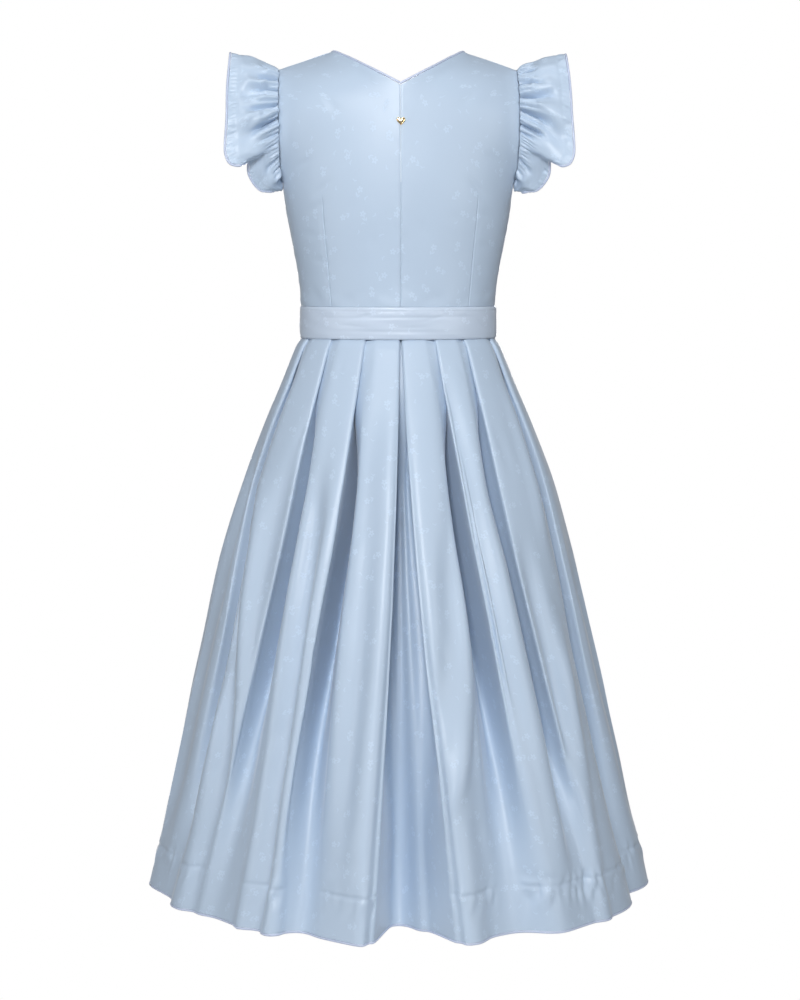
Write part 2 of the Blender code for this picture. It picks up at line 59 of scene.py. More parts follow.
def add_camera():
    forward = np.array([-CAMERA_MM[0], -CAMERA_MM[1], 0.0])
    forward /= np.linalg.norm(forward)
    right = np.cross(forward, (0, 0, 1.0))
    flat = forward * math.cos(YAW) - right * math.sin(YAW)
    right = np.cross(flat, (0, 0, 1.0))
    look = flat * math.cos(PITCH) - np.array([0, 0, 1.0]) * math.sin(PITCH)
    up = np.cross(right, look)
    data = bpy.data.cameras.new("camera")
    data.sensor_width = FILM_MM
    data.lens = FOCAL_PX * FILM_MM / FRAME_PX
    data.clip_end = CLIP_END_M
    made = add_object("camera", data)
    place = CAMERA_MM * MM
    made.matrix_world = Matrix(
        [[right[k], up[k], -look[k], place[k]] for k in range(3)] + [[0, 0, 0, 1]]
    )
    bpy.context.scene.camera = made


add_camera()

# ------ the dress's sizes, mm
SIDES, FACES = (("left", 1), ("right", -1)), (("back", 1), ("front", -1))
WALL, BAND_WALL, SEAM, PIPING = 1.3, 2.0, 0.3, 3.0
WAIST_TOP, WAIST_LOW, HEM = -323.7, -364.2, -1074.0
# Rows of a panel's table: where its outline turns a corner, and the shoulder's.
UNDERARM, NECK_BACK, NECK_FRONT, SHOULDER = 5, 8, 6, 12
BACK = (
    # in_x in_y   in_z   out_x  out_y out_z  run  head  run  head
    (0, 93, -323.4, 124, 0, -323.4, 68, 0, 51, -90),
    (0, 92.5, -300, 125.8, 0, -300, 69, 0, 51, -90),
    (0, 94, -270, 130.2, 0, -270, 72, 0, 52, -90),
    (0, 97, -235, 136.8, 0, -235, 75, 0, 54, -90),
    (0, 99, -203, 142.6, 0, -205, 78, 0, 55, -90),
    (0, 99, -165, 147, 0, -169, 80, 0, 55, -90),
    (0, 97.5, -125, 149.4, 24, -154, 70, -1, 35, -75),
    (0, 94, -85, 151, 40, -127, 62, -2, 38, -58),
    (0, 89.5, -48.5, 151.7, 46, -98, 60, -4, 40, -50),
    (23, 84, -36, 151.7, 42, -72.5, 48, -8, 38, -48),
    (46, 68.5, -23.3, 151.7, 31, -51, 40, -12, 34, -42),
    (70, 34.5, -9, 151.4, 14, -33, 28, -10, 28, -25),
    (86, 0, -2.5, 151, 0, -24, 22, 0, 22, 0),
)
FRONT = (
    (0, 92, -323.4, 124, 0, -323.4, 68, 0, 51, -90),
    (0, 95, -300, 125.8, 0, -300, 68, 1, 52, -90),
    (0, 104, -270, 130.2, 0, -270, 68, 4, 58, -90),
    (0, 117, -240, 136.8, 0, -235, 70, 8, 64, -90),
    (0, 128, -213, 142.6, 0, -205, 72, 8, 68, -90),
    (0, 131, -190, 147, 0, -169, 72, 7, 62, -88),
    (0, 130, -166, 146, 24, -154, 62, 4, 44, -74),
    (34, 128, -158, 143.5, 40, -130, 42, -6, 36, -62),
    (58, 117, -138, 141.5, 49, -106, 32, -16, 30, -56),
    (71, 98, -103, 142, 49, -80, 26, -20, 26, -52),
    (78, 68, -62, 145, 39, -56, 24, -16, 24, -42),
    (83, 33, -24, 149.2, 18, -36, 24, -8, 24, -24),
    (86, 0, -2.5, 151, 0, -24, 22, 0, 22, 0),
)
FRILL_EDGE = (
    # row     x      y      z
    (0, 155, 0, -169),
    (0.6, 160, 18, -177),
    (1.05, 170, 28, -178),
    (1.45, 182, 33, -168.5),
    (1.85, 189, 36.5, -152.5),
    (2.15, 188.5, 46, -139.5),
    (2.35, 192, 58.5, -141.5),
    (2.55, 202.5, 68.5, -146.5),
    (2.8, 211.5, 71, -144),
    (3.1, 216.5, 69, -129.5),
    (3.6, 216, 63, -106),
    (4.2, 215, 54, -82),
    (5, 214.5, 41, -53),
    (6, 213, 22, -23),
    (7, 211.5, 0, -4),
    (8, 213.5, -24, -23),
    (9, 215, -46, -54),
    (10, 216, -60, -86),
    (11, 208, -62, -116),
    (12, 190, -46, -138),
    (13, 168, -20, -157),
)
LOBE_AT, LOBE_REACH = 2.3, 1.2  # row of the turned-under edge, and how far it is felt
FRILL_GATHERS = 14
# Share across, height of the waves in mm, and the slow waves' share in them.
FRILL_ROWS = ((0, 1.3, 0), (0.22, 3, 0.15), (0.55, 3.6, 0.6), (1, 3.4, 0.9))
SKIRT = (
    # down   wide   back  front
    (0, 125, 93, 92),
    (0.04, 136.5, 104, 102),
    (0.078, 147, 115, 112),
    (0.15, 168, 136, 131),
    (0.26, 196, 167, 158),
    (0.37, 216, 191, 182),
    (0.48, 234, 213, 202),
    (0.62, 255, 237, 228),
    (0.77, 277, 262, 252),
    (0.9, 297, 284, 274),
    (1, 312, 300, 290),
)
ANGLE_LEVELS = (0, 0.25, 0.5, 0.75, 1)
DEPTH_LEVELS = (0, 0.25, 0.6, 1)
LEFT = (
    # fold edge's angles         groove depths  width  panel's rises
    ((0.7, 2.4, 4, 5.8, 7.4), (17, 24, 52), 54, (10, 24, 13, 0)),
    ((21, 22.5, 26.5, 29.5, 31), (18, 20, 16), 58, (10, 14, 0, -10)),
    ((44.5, 44, 47.5, 52, 57), (15, 13, 12), 52, (-6, -6, -2, 4)),
    ((71, 74.5, 71, 74, 79), (15, 14, 9), 50, (-7, -3, 13, 11)),
    ((104, 105, 107, 110, 113), (14, 18, 16), 66, (5, 11, 6, 0)),
    ((130, 130, 131, 132, 134), (14, 17, 14), 84, (3, 9, 6, 0)),
    ((155, 154, 154, 154, 155), (14, 16, 13), 84, (2, 8, 9, 4)),
)
RIGHT = (
    ((0.7, 2.8, 5.4, 8.6, 10.7), (17, 20, 34), 54, (12, 25, 21, -2)),
    ((20.5, 22.5, 26.5, 29.5, 31.5), (18, 18, 7), 58, (12, 21, 22, 14)),
    ((41, 38.5, 42, 47, 51), (16, 13, -8), 50, (11, 12, 12, 6)),
    ((71, 71, 70, 74, 80), (13, 12, 11), 58, (1, 8, 17, 12)),
    ((105, 106, 108, 111, 114), (14, 18, 16), 66, (5, 11, 6, 0)),
    ((131, 131, 132, 133, 135), (14, 17, 14), 84, (4, 10, 5, 1)),
    ((155.5, 155, 155, 156, 157), (14, 16, 12), 84, (3, 9, 6, 4)),
)
SIDE_PANEL, OVERLAP, OPEN_BY = 3, 14.0, 0.27
# Pressed: mm past the edge as a share of the overlap, and mm down. Open: share of the
# groove's width back from the edge, and share of its depth, first where the fold is still
# crisp and hangs over its groove, then where it has gone soft.
UNDERLAY = (
    (-0.64, -1.6, 1, 0.1, 1, 0.3), (-0.1, -5.2, 0.84, 0.25, 0.78, 0.66),
    (0.45, -6.5, 0.64, 0.47, 0.6, 0.9), (0.86, -6.6, 0.41, 0.78, 0.45, 1),
    (1, -5.1, 0.13, 1.14, 0.32, 0.92), (0.86, -3.6, -0.14, 1.22, 0.21, 0.7),
    (0.4, -3.4, -0.17, 0.72, 0.12, 0.4), (0.1, -3.2, -0.07, 0.22, 0.05, 0.14),
)
CENTRE_UNDERLAY = ((0.45, 1), (0, 1.06), (-0.46, 1), (-0.52, 0.6), (-0.22, 0.18))
SOFT_FROM, SOFT_TO = 0.50, 0.93  # levels between which the folds lose their crisp edges
DEEPER = ((0, 1), (0.12, 2.9), (0.3, 3.6), (0.5, 3.1), (0.7, 2.5), (0.88, 2), (1, 1.5))
PANEL_SHARES = (0.13, 0.42, 0.72)
PRESSED_DEPTH, CENTRE_DEPTH = 6.0, 6.6  # of the grooves at the band, mm
PANEL_SPAN = 0.86  # share at which a panel would reach the next groove
CENTRE_WIDER, WIDEST = 1.4, 0.9  # widening of the centre's grooves, and the most of a reach


# ------ helpers
def cubic(a, b, slope_a, slope_b, t):
    return (
        a * (2 * t**3 - 3 * t**2 + 1) + slope_a * (t**3 - 2 * t**2 + t)
        + b * (3 * t**2 - 2 * t**3) + slope_b * (t**3 - t**2)
    )


def hermite(xs, ys, x):
    """A smooth curve through the table, without overshoot."""
    xs, ys = np.asarray(xs, float), np.asarray(ys, float)
    step = np.diff(xs)
    slope = np.diff(ys) / step
    m = np.zeros(len(xs))
    m[0], m[-1] = slope[0], slope[-1]
    same = slope[:-1] * slope[1:] > 0
    m[1:-1][same] = 2 * slope[:-1][same] * slope[1:][same] / (slope[:-1] + slope[1:])[same]
    x = np.clip(np.asarray(x, float), xs[0], xs[-1])
    i = np.clip(np.searchsorted(xs, x, side="right") - 1, 0, len(step) - 1)
    t = (x - xs[i]) / step[i]
    return cubic(ys[i], ys[i + 1], m[i] * step[i], m[i + 1] * step[i], t)


def column(table, k):
    return [row[k] for row in table]


def ease(x):
    x = np.clip(x, 0.0, 1.0)
    return x * x * (3 - 2 * x)


def size(v):
    return np.linalg.norm(v, axis=-1)


def unit(v):
    return v / np.maximum(size(v)[..., None], 1e-9)


def running(steps):
    return np.concatenate([[0], np.cumsum(steps)])


def bump(x):
    """A soft hump, 1 at 0 and 0 beyond 1."""
    return np.where(np.abs(x) < 1, (1 - np.minimum(x * x, 1)) ** 2, 0.0)


def wobble(u, v, seed, high=4, terms=6, low=1):
    """Uneven smooth waves over two coordinates, near -1 to 1."""
    rng = np.random.default_rng(seed)
    total = np.zeros(np.broadcast(u, v).shape)
    for _ in range(terms):
        f = rng.uniform(low, high) * rng.choice([-1, 1], 2) * (rng.uniform(0.3, 1), rng.uniform(0.3, 1))
        total = total + np.sin(2 * math.pi * (f[0] * u + f[1] * v) + rng.uniform(0, 6.28))
    return total / terms**0.5


def crease(u, v, u0, v0, u1, v1, wide, high):
    """A soft ridge, or a trough where `high` is negative, along a line in two
    coordinates, tapering to both ends."""
    du, dv = u1 - u0, v1 - v0
    t = ((u - u0) * du + (v - v0) * dv) / (du * du + dv * dv)
    off = np.hypot(u - u0 - t * du, v - v0 - t * dv)
    return high * bump(off / wide) * bump((t - 0.5) / 0.62)


def direction(line, ring=False):
    ahead = np.roll(line, -1, 0) - np.roll(line, 1, 0) if ring else np.gradient(line, axis=0)
    return unit(ahead)


def square_away(edge, inside, ring=False):
    """Away from the points inside, square to the edge."""
    along = direction(edge, ring)
    away = edge - inside
    return unit(away - along * np.sum(away * along, axis=1, keepdims=True))


def run_along(line):
    """Length run at each point of a line."""
    return running(size(np.diff(line, axis=0)))


def along_rows(grid):
    """Length run along each row of a grid of points."""
    return np.array([run_along(line) for line in grid])


def grid_normals(points, ring=False):
    along = np.gradient(points, axis=0)
    if ring:
        across = np.roll(points, -1, 1) - np.roll(points, 1, 1)
    else:
        across = np.gradient(points, axis=1)
    return unit(np.cross(across, along))


def grid_quads(rows, cols, wide):
    """Each quad's four corners in a grid of points, and its row and column. A grid as wide
    as it has columns closes on itself."""
    r, c = (q.ravel() for q in np.meshgrid(np.arange(rows - 1), np.arange(wide), indexing="ij"))
    a, b = r * cols + c, r * cols + (c + 1) % cols
    return np.stack([a, b, b + cols, a + cols], 1), r, c


def finish_mesh(name, points, faces, uv, material, solid, sharp=()):
    """A smooth closed mesh in the place of one solid, its faces turned outward."""
    points = np.asarray(points, float)
    fans = np.array([(f[0], f[k], f[k + 1]) for f in faces for k in range(1, len(f) - 1)])
    p, q, r = points[fans].transpose(1, 0, 2)
    if np.einsum("ij,ij->", p, np.cross(q, r)) < 0:
        ends = np.cumsum([len(f) for f in faces])
        faces = [f[::-1] for f in faces]
        if uv is not None:
            uv = uv[[k for end, f in zip(ends, faces) for k in range(end - 1, end - len(f) - 1, -1)]]
    mesh = bpy.data.meshes.new(name)
    mesh.from_pydata((points * MM).tolist(), [], faces)
    mesh.polygons.foreach_set("use_smooth", np.ones(len(mesh.polygons), bool))
    if uv is not None:
        layer = mesh.uv_layers.new(name="cloth")
        layer.data.foreach_set("uv", (np.asarray(uv, np.float32) * MM).ravel())
    if len(sharp):
        pairs = {tuple(sorted(p)) for p in sharp}
        ends = np.zeros(len(mesh.edges) * 2, np.int32)
        mesh.edges.foreach_get("vertices", ends)
        flags = [tuple(sorted(e)) in pairs for e in ends.reshape(-1, 2).tolist()]
        mesh.edges.foreach_set("use_edge_sharp", flags)
    mesh.materials.append(material)
    made = add_object(name, mesh)
    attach(made, "root")
    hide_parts(solid)


def sheet_mesh(solid, outer, inner, uv, material=None, ring=False):
    """Closed cloth between two grids. uv is a grid one column wider than a ring, or each
    face's own four corners."""
    rows, cols = outer.shape[:2]
    whole = rows * cols
    wide = cols if ring else cols - 1
    quads, r, c = grid_quads(rows, cols, wide)
    if uv.ndim == 3:
        corner = np.stack([uv[r, c], uv[r, c + 1], uv[r + 1, c + 1], uv[r + 1, c]], 1)
    else:
        corner = uv.reshape(-1, 4, 2)
    faces, corners, sharp = [quads, quads[:, ::-1] + whole], [corner, corner[:, ::-1]], []

    def close(first, second, at, turned):
        """The wall's open side between two lines of points, with the uv of its edge."""
        quad, four = np.stack([second, first, first + whole, second + whole], 1), at[:, [1, 0, 0, 1]]
        faces.append(quad[:, ::-1] if turned else quad)
        corners.append(four[:, ::-1] if turned else four)
        for off in (0, whole):
            sharp.extend(zip((first + off).tolist(), (second + off).tolist()))

    for row in (0, rows - 1):
        first = row * cols + np.arange(wide)
        at = corner[:wide][:, [0, 1]] if row == 0 else corner[-wide:][:, [3, 2]]
        close(first, row * cols + (np.arange(wide) + 1) % cols, at, row > 0)
    if not ring:
        for col in (0, cols - 1):
            first = np.arange(rows - 1) * cols + col
            pick = corner[np.arange(rows - 1) * wide + min(col, wide - 1)]
            close(first, first + cols, pick[:, [0, 3] if col == 0 else [1, 2]], col == 0)
    points = np.concatenate([outer.reshape(-1, 3), inner.reshape(-1, 3)])
    uv = np.concatenate(corners).reshape(-1, 2)
    faces = np.concatenate(faces).tolist()
    finish_mesh(f"{solid}_cloth", points, faces, uv, material or CLOTH, solid, sharp)


def tube_mesh(solid, path, up, sides, ring=False):
    """A round piping along a path. The ends of an open one are square to the side seams."""
    along = direction(path, ring)
    if not ring:
        for end in (0, -1):
            along[end] = (0, np.sign(along[end, 1]), 0)
    side = unit(np.cross(along, up))
    top = unit(np.cross(side, along))
    turn = (2 * math.pi * (np.arange(sides) + 0.5) / sides)[None, :, None]
    loops = path[:, None] + PIPING / 2 * (np.cos(turn) * side[:, None] + np.sin(turn) * top[:, None])
    count = len(path)
    run = run_along(path)
    run = np.append(run, run[-1] + run[1])
    quads, k, s = grid_quads(count + ring, sides, sides)
    faces = (quads % (count * sides)).tolist()
    w = 2 * math.pi * (PIPING / 2) / sides
    u0, u1, v0, v1 = s * w, (s + 1) * w, run[k], run[k + 1]
    uv = np.stack([u0, v0, u1, v0, u1, v1, u0, v1], -1).reshape(-1, 2)
    if not ring:
        faces += [list(range(sides))[::-1], [(count - 1) * sides + s for s in range(sides)]]
        uv = np.concatenate([uv, np.zeros((2 * sides, 2))])
    finish_mesh(f"{solid}_cord", loops.reshape(-1, 3), faces, uv, TRIM, solid)


# ------ materials
def feed(tree, made, inputs):
    """Each input socket gets a constant, or a link from another node's output."""
    for socket, value in inputs.items():
        if isinstance(value, bpy.types.NodeSocket):
            tree.links.new(value, made.inputs[socket])
        else:
            made.inputs[socket].default_value = value


def node(tree, kind, inputs, **settings):
    made = tree.nodes.new(kind)
    for key, value in settings.items():
        setattr(made, key, value)
    feed(tree, made, inputs)
    return made


def math_node(tree, operation, *inputs, clamp=False):
    made = node(tree, "ShaderNodeMath", dict(enumerate(inputs)), operation=operation, use_clamp=clamp)
    return made.outputs[0]


def vector_node(tree, operation, a, b):
    return node(tree, "ShaderNodeVectorMath", {0: a, 1: b}, operation=operation).outputs[0]


def mixed(tree, a, b, factor):
    inputs = {"A": a, "B": b, "Factor": factor}
    return node(tree, "ShaderNodeMix", inputs, data_type="RGBA").outputs["Result"]


def new_material(name, inputs):
    made = bpy.data.materials.new(name)
    made.use_nodes = True
    shader = made.node_tree.nodes["Principled BSDF"]
    feed(made.node_tree, shader, inputs)
    return made, made.node_tree, shader


def cell_frame(tree, coords, per_metre, randomness, seed):
    """Coordinates about the middle of each scattered motif, turned at random, in metres."""
    moved = vector_node(tree, "ADD", coords, (seed * 0.731, seed * 0.417, 0))
    inputs = {"Vector": moved, "Scale": per_metre, "Randomness": randomness}
    cells = node(tree, "ShaderNodeTexVoronoi", inputs, voronoi_dimensions="2D", feature="F1")
    local = vector_node(tree, "SUBTRACT", moved, cells.outputs["Position"])
    parts = node(tree, "ShaderNodeSeparateColor", {0: cells.outputs["Color"]})
    inputs = {"Vector": local, "Angle": math_node(tree, "MULTIPLY", parts.outputs[0], 6.283)}
    turned = node(tree, "ShaderNodeVectorRotate", inputs, rotation_type="Z_AXIS")
    xyz = node(tree, "ShaderNodeSeparateXYZ", {0: turned.outputs[0]})
    return xyz.outputs[0], xyz.outputs[1], parts.outputs[1]


def ellipse(tree, x, y, cx, cy, rx, ry, tilt=0.0):
    """1 inside a soft-edged tilted ellipse, 0 outside."""
    m = partial(math_node, tree)
    c, s = math.cos(tilt), math.sin(tilt)
    dx, dy = m("SUBTRACT", x, cx), m("SUBTRACT", y, cy)
    along = m("ADD", m("MULTIPLY", dx, c / rx), m("MULTIPLY", dy, s / rx))
    over = m("ADD", m("MULTIPLY", dx, -s / ry), m("MULTIPLY", dy, c / ry))
    reach = m("ADD", m("MULTIPLY", along, along), m("MULTIPLY", over, over))
    return m("MULTIPLY_ADD", reach, -1.6, 2.0, clamp=True)


# The woven motif, in metres: middle, half length, half width and tilt of each part.
FLOWERS_PER_M, FLOWERS_FROM, DASHES_PER_M, DASHES_FROM = 31.0, 0.28, 47.0, 0.45
PETAL_LOW, PETAL_HIGH, PETALS = 0.0019, 0.0022, 5
SPRIG = (
    (0.0066, -0.0018, 0.0026, 0.001, 0.5), (0.0078, 0.0014, 0.0024, 0.0009, -0.5),
    (0.0064, 0, 0.004, 0.00035, 0.05),
)
DASH, LEAF = (0, 0, 0.003, 0.0007), (0.0016, 0.0012, 0.0019, 0.0008, 0.9)


def flower_mask(tree, coords):
    """Small woven flowers, sprigs and dashes, scattered and turned unevenly."""
    m = partial(math_node, tree)
    x, y, pick = cell_frame(tree, coords, FLOWERS_PER_M, 0.8, 1)
    radius = m("SQRT", m("ADD", m("MULTIPLY", x, x), m("MULTIPLY", y, y)))
    petal = m("ABSOLUTE", m("COSINE", m("MULTIPLY", m("ARCTAN2", y, x), PETALS / 2)))
    edge = m("MULTIPLY_ADD", petal, PETAL_HIGH, PETAL_LOW)
    inside = m("MULTIPLY_ADD", m("SUBTRACT", edge, radius), 2200.0, 0.5, clamp=True)
    shown = m("MULTIPLY", inside, m("MULTIPLY_ADD", radius, 2500.0, -1.6, clamp=True))
    sprig = ellipse(tree, x, y, *SPRIG[0])
    for part in SPRIG[1:]:
        sprig = m("MAXIMUM", sprig, ellipse(tree, x, y, *part))
    first = m("MULTIPLY", m("MAXIMUM", shown, sprig), m("GREATER_THAN", pick, FLOWERS_FROM))
    x, y, pick = cell_frame(tree, coords, DASHES_PER_M, 1.0, 3)
    second = m("MAXIMUM", ellipse(tree, x, y, *DASH), ellipse(tree, x, y, *LEAF))
    second = m("MULTIPLY", second, m("GREATER_THAN", pick, DASHES_FROM))
    return m("MAXIMUM", first, m("MULTIPLY", second, 0.8))


THREADS = (260.0, 2600.0, 1.0)  # to a metre, along and across the cloth
THREAD_RELIEF, MOTIF_RELIEF = 0.00005, 0.00012  # metres
DARKER, LIGHTER, MOTIF_LIGHTER, MOTIF_SHOWS, MOTIF_ROUGHER = 0.955, 1.03, 1.12, 0.62, 0.14


def satin(name, colour, rough=0.40, motif=True, sheen=0.25):
    """Woven satin: fine threads, a faint uneven tone and, where it has them, flowers."""
    made, tree, shader = new_material(name, {
        "Sheen Weight": sheen, "Sheen Roughness": 0.35, "Specular IOR Level": 0.42, "Anisotropic": 0.3,
    })
    m = partial(math_node, tree)
    coords = node(tree, "ShaderNodeTexCoord", {}).outputs["UV"]
    inputs = {"Vector": coords, "Scale": 9.0, "Detail": 2.0}
    tone = node(tree, "ShaderNodeTexNoise", inputs, noise_dimensions="2D").outputs[0]
    stretch = node(tree, "ShaderNodeMapping", {"Vector": coords, "Scale": THREADS})
    inputs = {"Vector": stretch.outputs[0], "Scale": 1.0, "Detail": 1.0}
    thread = node(tree, "ShaderNodeTexNoise", inputs, noise_dimensions="2D").outputs[0]
    shade = m("ADD", m("MULTIPLY", tone, 0.6), m("MULTIPLY", thread, 0.4))
    dark, light = (DARKER * c for c in colour), (min(LIGHTER * c, 1) for c in colour)
    out = mixed(tree, (*dark, 1), (*light, 1), shade)
    height = m("MULTIPLY", thread, THREAD_RELIEF)
    if motif:
        mask = flower_mask(tree, coords)
        woven = (min(c * MOTIF_LIGHTER + 0.02, 1) for c in colour)
        out = mixed(tree, out, (*woven, 1), m("MULTIPLY", mask, MOTIF_SHOWS))
        rough = m("MULTIPLY_ADD", mask, MOTIF_ROUGHER, rough)
        height = m("MULTIPLY_ADD", mask, MOTIF_RELIEF, height)
    else:
        rough = m("MULTIPLY_ADD", tone, 0.08, rough - 0.04)
    relief = node(tree, "ShaderNodeBump", {"Strength": 0.5, "Distance": 1.0, "Height": height})
    feed(tree, shader, {"Base Color": out, "Roughness": rough, "Normal": relief.outputs[0]})
    return made


def gold():
    made, tree, shader = new_material("gold", {"Metallic": 1.0})
    coords = node(tree, "ShaderNodeTexCoord", {}).outputs["Object"]
    wear = node(tree, "ShaderNodeTexNoise", {"Vector": coords, "Scale": 420.0}).outputs[0]
    colour = mixed(tree, (0.84, 0.66, 0.40, 1), (0.94, 0.80, 0.56, 1), wear)
    rough = math_node(tree, "MULTIPLY_ADD", wear, 0.16, 0.16)
    feed(tree, shader, {"Base Color": colour, "Roughness": rough})
    return made


CLOTH = satin("woven satin", (0.48, 0.59, 0.73))
BAND_CLOTH = satin("band satin", (0.56, 0.655, 0.79), rough=0.34, sheen=0.3)
TRIM = satin("piping satin", (0.54, 0.61, 0.78), rough=0.34, motif=False)
GOLD = gold()


# ------ skirt
def outline(level, degrees):
    """Plan point, outward direction and mm to a degree of the skirt's smooth outline."""
    wide, back, front = (hermite(column(SKIRT, 0), column(SKIRT, k), level) for k in (1, 2, 3))
    angle = np.radians(degrees)
    deep = np.where(np.cos(angle) >= 0, back, front)
    point = np.stack([wide * np.sin(angle), deep * np.cos(angle)], -1)
    outward = unit(np.stack([np.sin(angle) / wide, np.cos(angle) / deep], -1))
    stretch = np.hypot(wide * np.cos(angle), deep * np.sin(angle)) * math.pi / 180
    return point, outward, stretch


def half_section(level, table):
    """(angle, rise, panel) of each point of one half, from centre back to centre front."""
    closed = 1 - float(ease(level / OPEN_BY))
    flat_top = 0.5 + 0.5 * float(ease(level / 0.07))
    more = float(hermite(column(DEEPER, 0), column(DEEPER, 1), level))
    edges, depths, widths, rises = [], [], [], []
    for angles, deep, wide, high in table:
        edges.append(float(hermite(ANGLE_LEVELS, angles, level)))
        depths.append(float(hermite(DEPTH_LEVELS, (PRESSED_DEPTH, *deep), level)) * more)
        widths.append(OVERLAP + (wide - OVERLAP) * level**1.3)
        rises.append([r * level**1.25 for r in high])

    def blend(pressed, opened):
        return closed * pressed + (1 - closed) * opened

    points = [(0.0, blend(-CENTRE_DEPTH, -depths[0]), 0)]
    for k, edge in enumerate(edges):
        centre = k == 0
        stretch = float(outline(level, edge)[2])
        before = 0.0 if centre else rises[k - 1][3]
        uneven = 0.05 * math.sin(2.4 * k + table[0][1][0])
        soft = float(ease((level - SOFT_FROM - uneven) / (SOFT_TO - SOFT_FROM)))
        for step, (past, low, crisp_back, crisp_part, soft_back, soft_part) in enumerate(UNDERLAY):
            if centre:
                if step < 3:
                    continue
                crisp_back, crisp_part = CENTRE_UNDERLAY[step - 3]
            back = crisp_back + (soft_back - crisp_back) * soft
            part = crisp_part + (soft_part - crisp_part) * soft
            reach = edge if centre else widths[k] / stretch
            if back > 0:
                back **= 1.35 - 0.35 * level
            open_angle = edge - min(back * (CENTRE_WIDER if centre else 1), WIDEST) * reach
            open_rise = -depths[k] * part + (before if back > 0.3 else rises[k][0]) * (1 - part)
            angle = blend(edge + past * OVERLAP / stretch, open_angle)
            points.append((angle, blend(low * flat_top, open_rise), k + (step > 3)))
        # The fold's edge, and the panel from it to the next groove.
        points.append((edge, -1.7 * closed + rises[k][0] - 0.4, k + 1))
        points.append((edge + (1.4 + 2.5 * level) / stretch, rises[k][0] + 0.6, k + 1))
        last = k + 1 == len(edges)
        ahead = 180.0 if last else edges[k + 1]
        near = 0.0 if last else widths[k + 1] / float(outline(level, ahead)[2])
        room = ahead - blend(-UNDERLAY[0][0] * OVERLAP / stretch, near) - edge
        for share, rise in zip(PANEL_SHARES, rises[k][1:]):
            angle = edge + share / PANEL_SPAN * room
            if k == SIDE_PANEL and share == PANEL_SHARES[1]:
                angle = 90.0  # the side seam
            points.append((angle, rise + 1.0 * (1 - level), k + 1))
    points.append((180.0, rises[-1][3] + 1.0 * (1 - level), len(edges)))
    return points


def ring_middle(level):
    """The control points of the cloth's middle line at one level, with angle and panel."""
    left, right = half_section(level, LEFT), half_section(level, RIGHT)
    ring = [(-a, r, -p) for a, r, p in right[:0:-1]] + left[:-1]
    angles, rises, panels = (np.array(column(ring, k)) for k in range(3))
    point, outward, _ = outline(level, angles)
    return point + outward * rises[:, None], angles, panels


def rounded(points, extra, steps):
    """A closed smooth line through uneven points, `steps` pieces to each gap. `extra` is
    carried along as a straight mix."""
    p0, p1, p2, p3 = (np.roll(points, -k, 0) for k in (-1, 0, 1, 2))

    def gap(a, b):
        return np.maximum(size(b - a), 0.05)[:, None] ** 0.5

    a, b, c = gap(p0, p1), gap(p1, p2), gap(p2, p3)
    m1 = ((p1 - p0) / a - (p2 - p0) / (a + b) + (p2 - p1) / b) * b
    m2 = ((p2 - p1) / b - (p3 - p1) / (b + c) + (p3 - p2) / c) * b
    out = [cubic(p1, p2, m1, m2, s / steps) for s in range(steps)]
    carried = [extra + (np.roll(extra, -1) - extra) * s / steps for s in range(steps)]
    return np.stack(out, 1).reshape(-1, 2), np.stack(carried, 1).reshape(-1)


SOFT_LEAST = 0.3  # mm, below which nothing is rounded
CREST_AT, CREST_WIDE, FREE_FROM = 8, 11, 45  # degrees either side of the centre back


def softened(line, reach, angles):
    """A closed line rounded over `reach` mm; less at the centre back, where the fold's
    edge stays crisp down to the hem, and more towards the front."""
    if reach < SOFT_LEAST:
        return line
    step = size(np.roll(line, -1, 0) - line)
    run = np.cumsum(step) - step
    weight = (step + np.roll(step, 1)) / 2
    gap = np.abs(run[:, None] - run[None])
    gap = np.minimum(gap, step.sum() - gap)
    crisp = 1 - 0.85 * bump((np.abs(angles) - CREST_AT) / CREST_WIDE)
    reach = reach * crisp * (1 + (1 - bump(angles / FREE_FROM)) * max(0, reach - 6) / 3)
    kernel = np.exp(-0.5 * (gap / np.maximum(reach, SOFT_LEAST)[:, None]) ** 2) * weight[None]
    return kernel @ line / kernel.sum(1)[:, None]


SKIRT_ROWS, SKIRT_STEPS = 118, 4
SOFTEST, SOFTEN_FROM, SOFTEN_OVER = 8.5, 0.44, 0.50  # mm, and levels
SKIRT_DROP, SKIRT_SLANT, SKIRT_CLOTH = 712, 720, 745.0  # mm: straight down, along, with folds
FOLD_HIGHER, FOLD_WIDER = 2.3, 1.35  # of every fold in the table
DRAWN_IN, DRAWN_TO = 2.3, 0.016  # mm and level
GRAIN_APART = 137.0  # mm between the motif's places on neighbouring panels
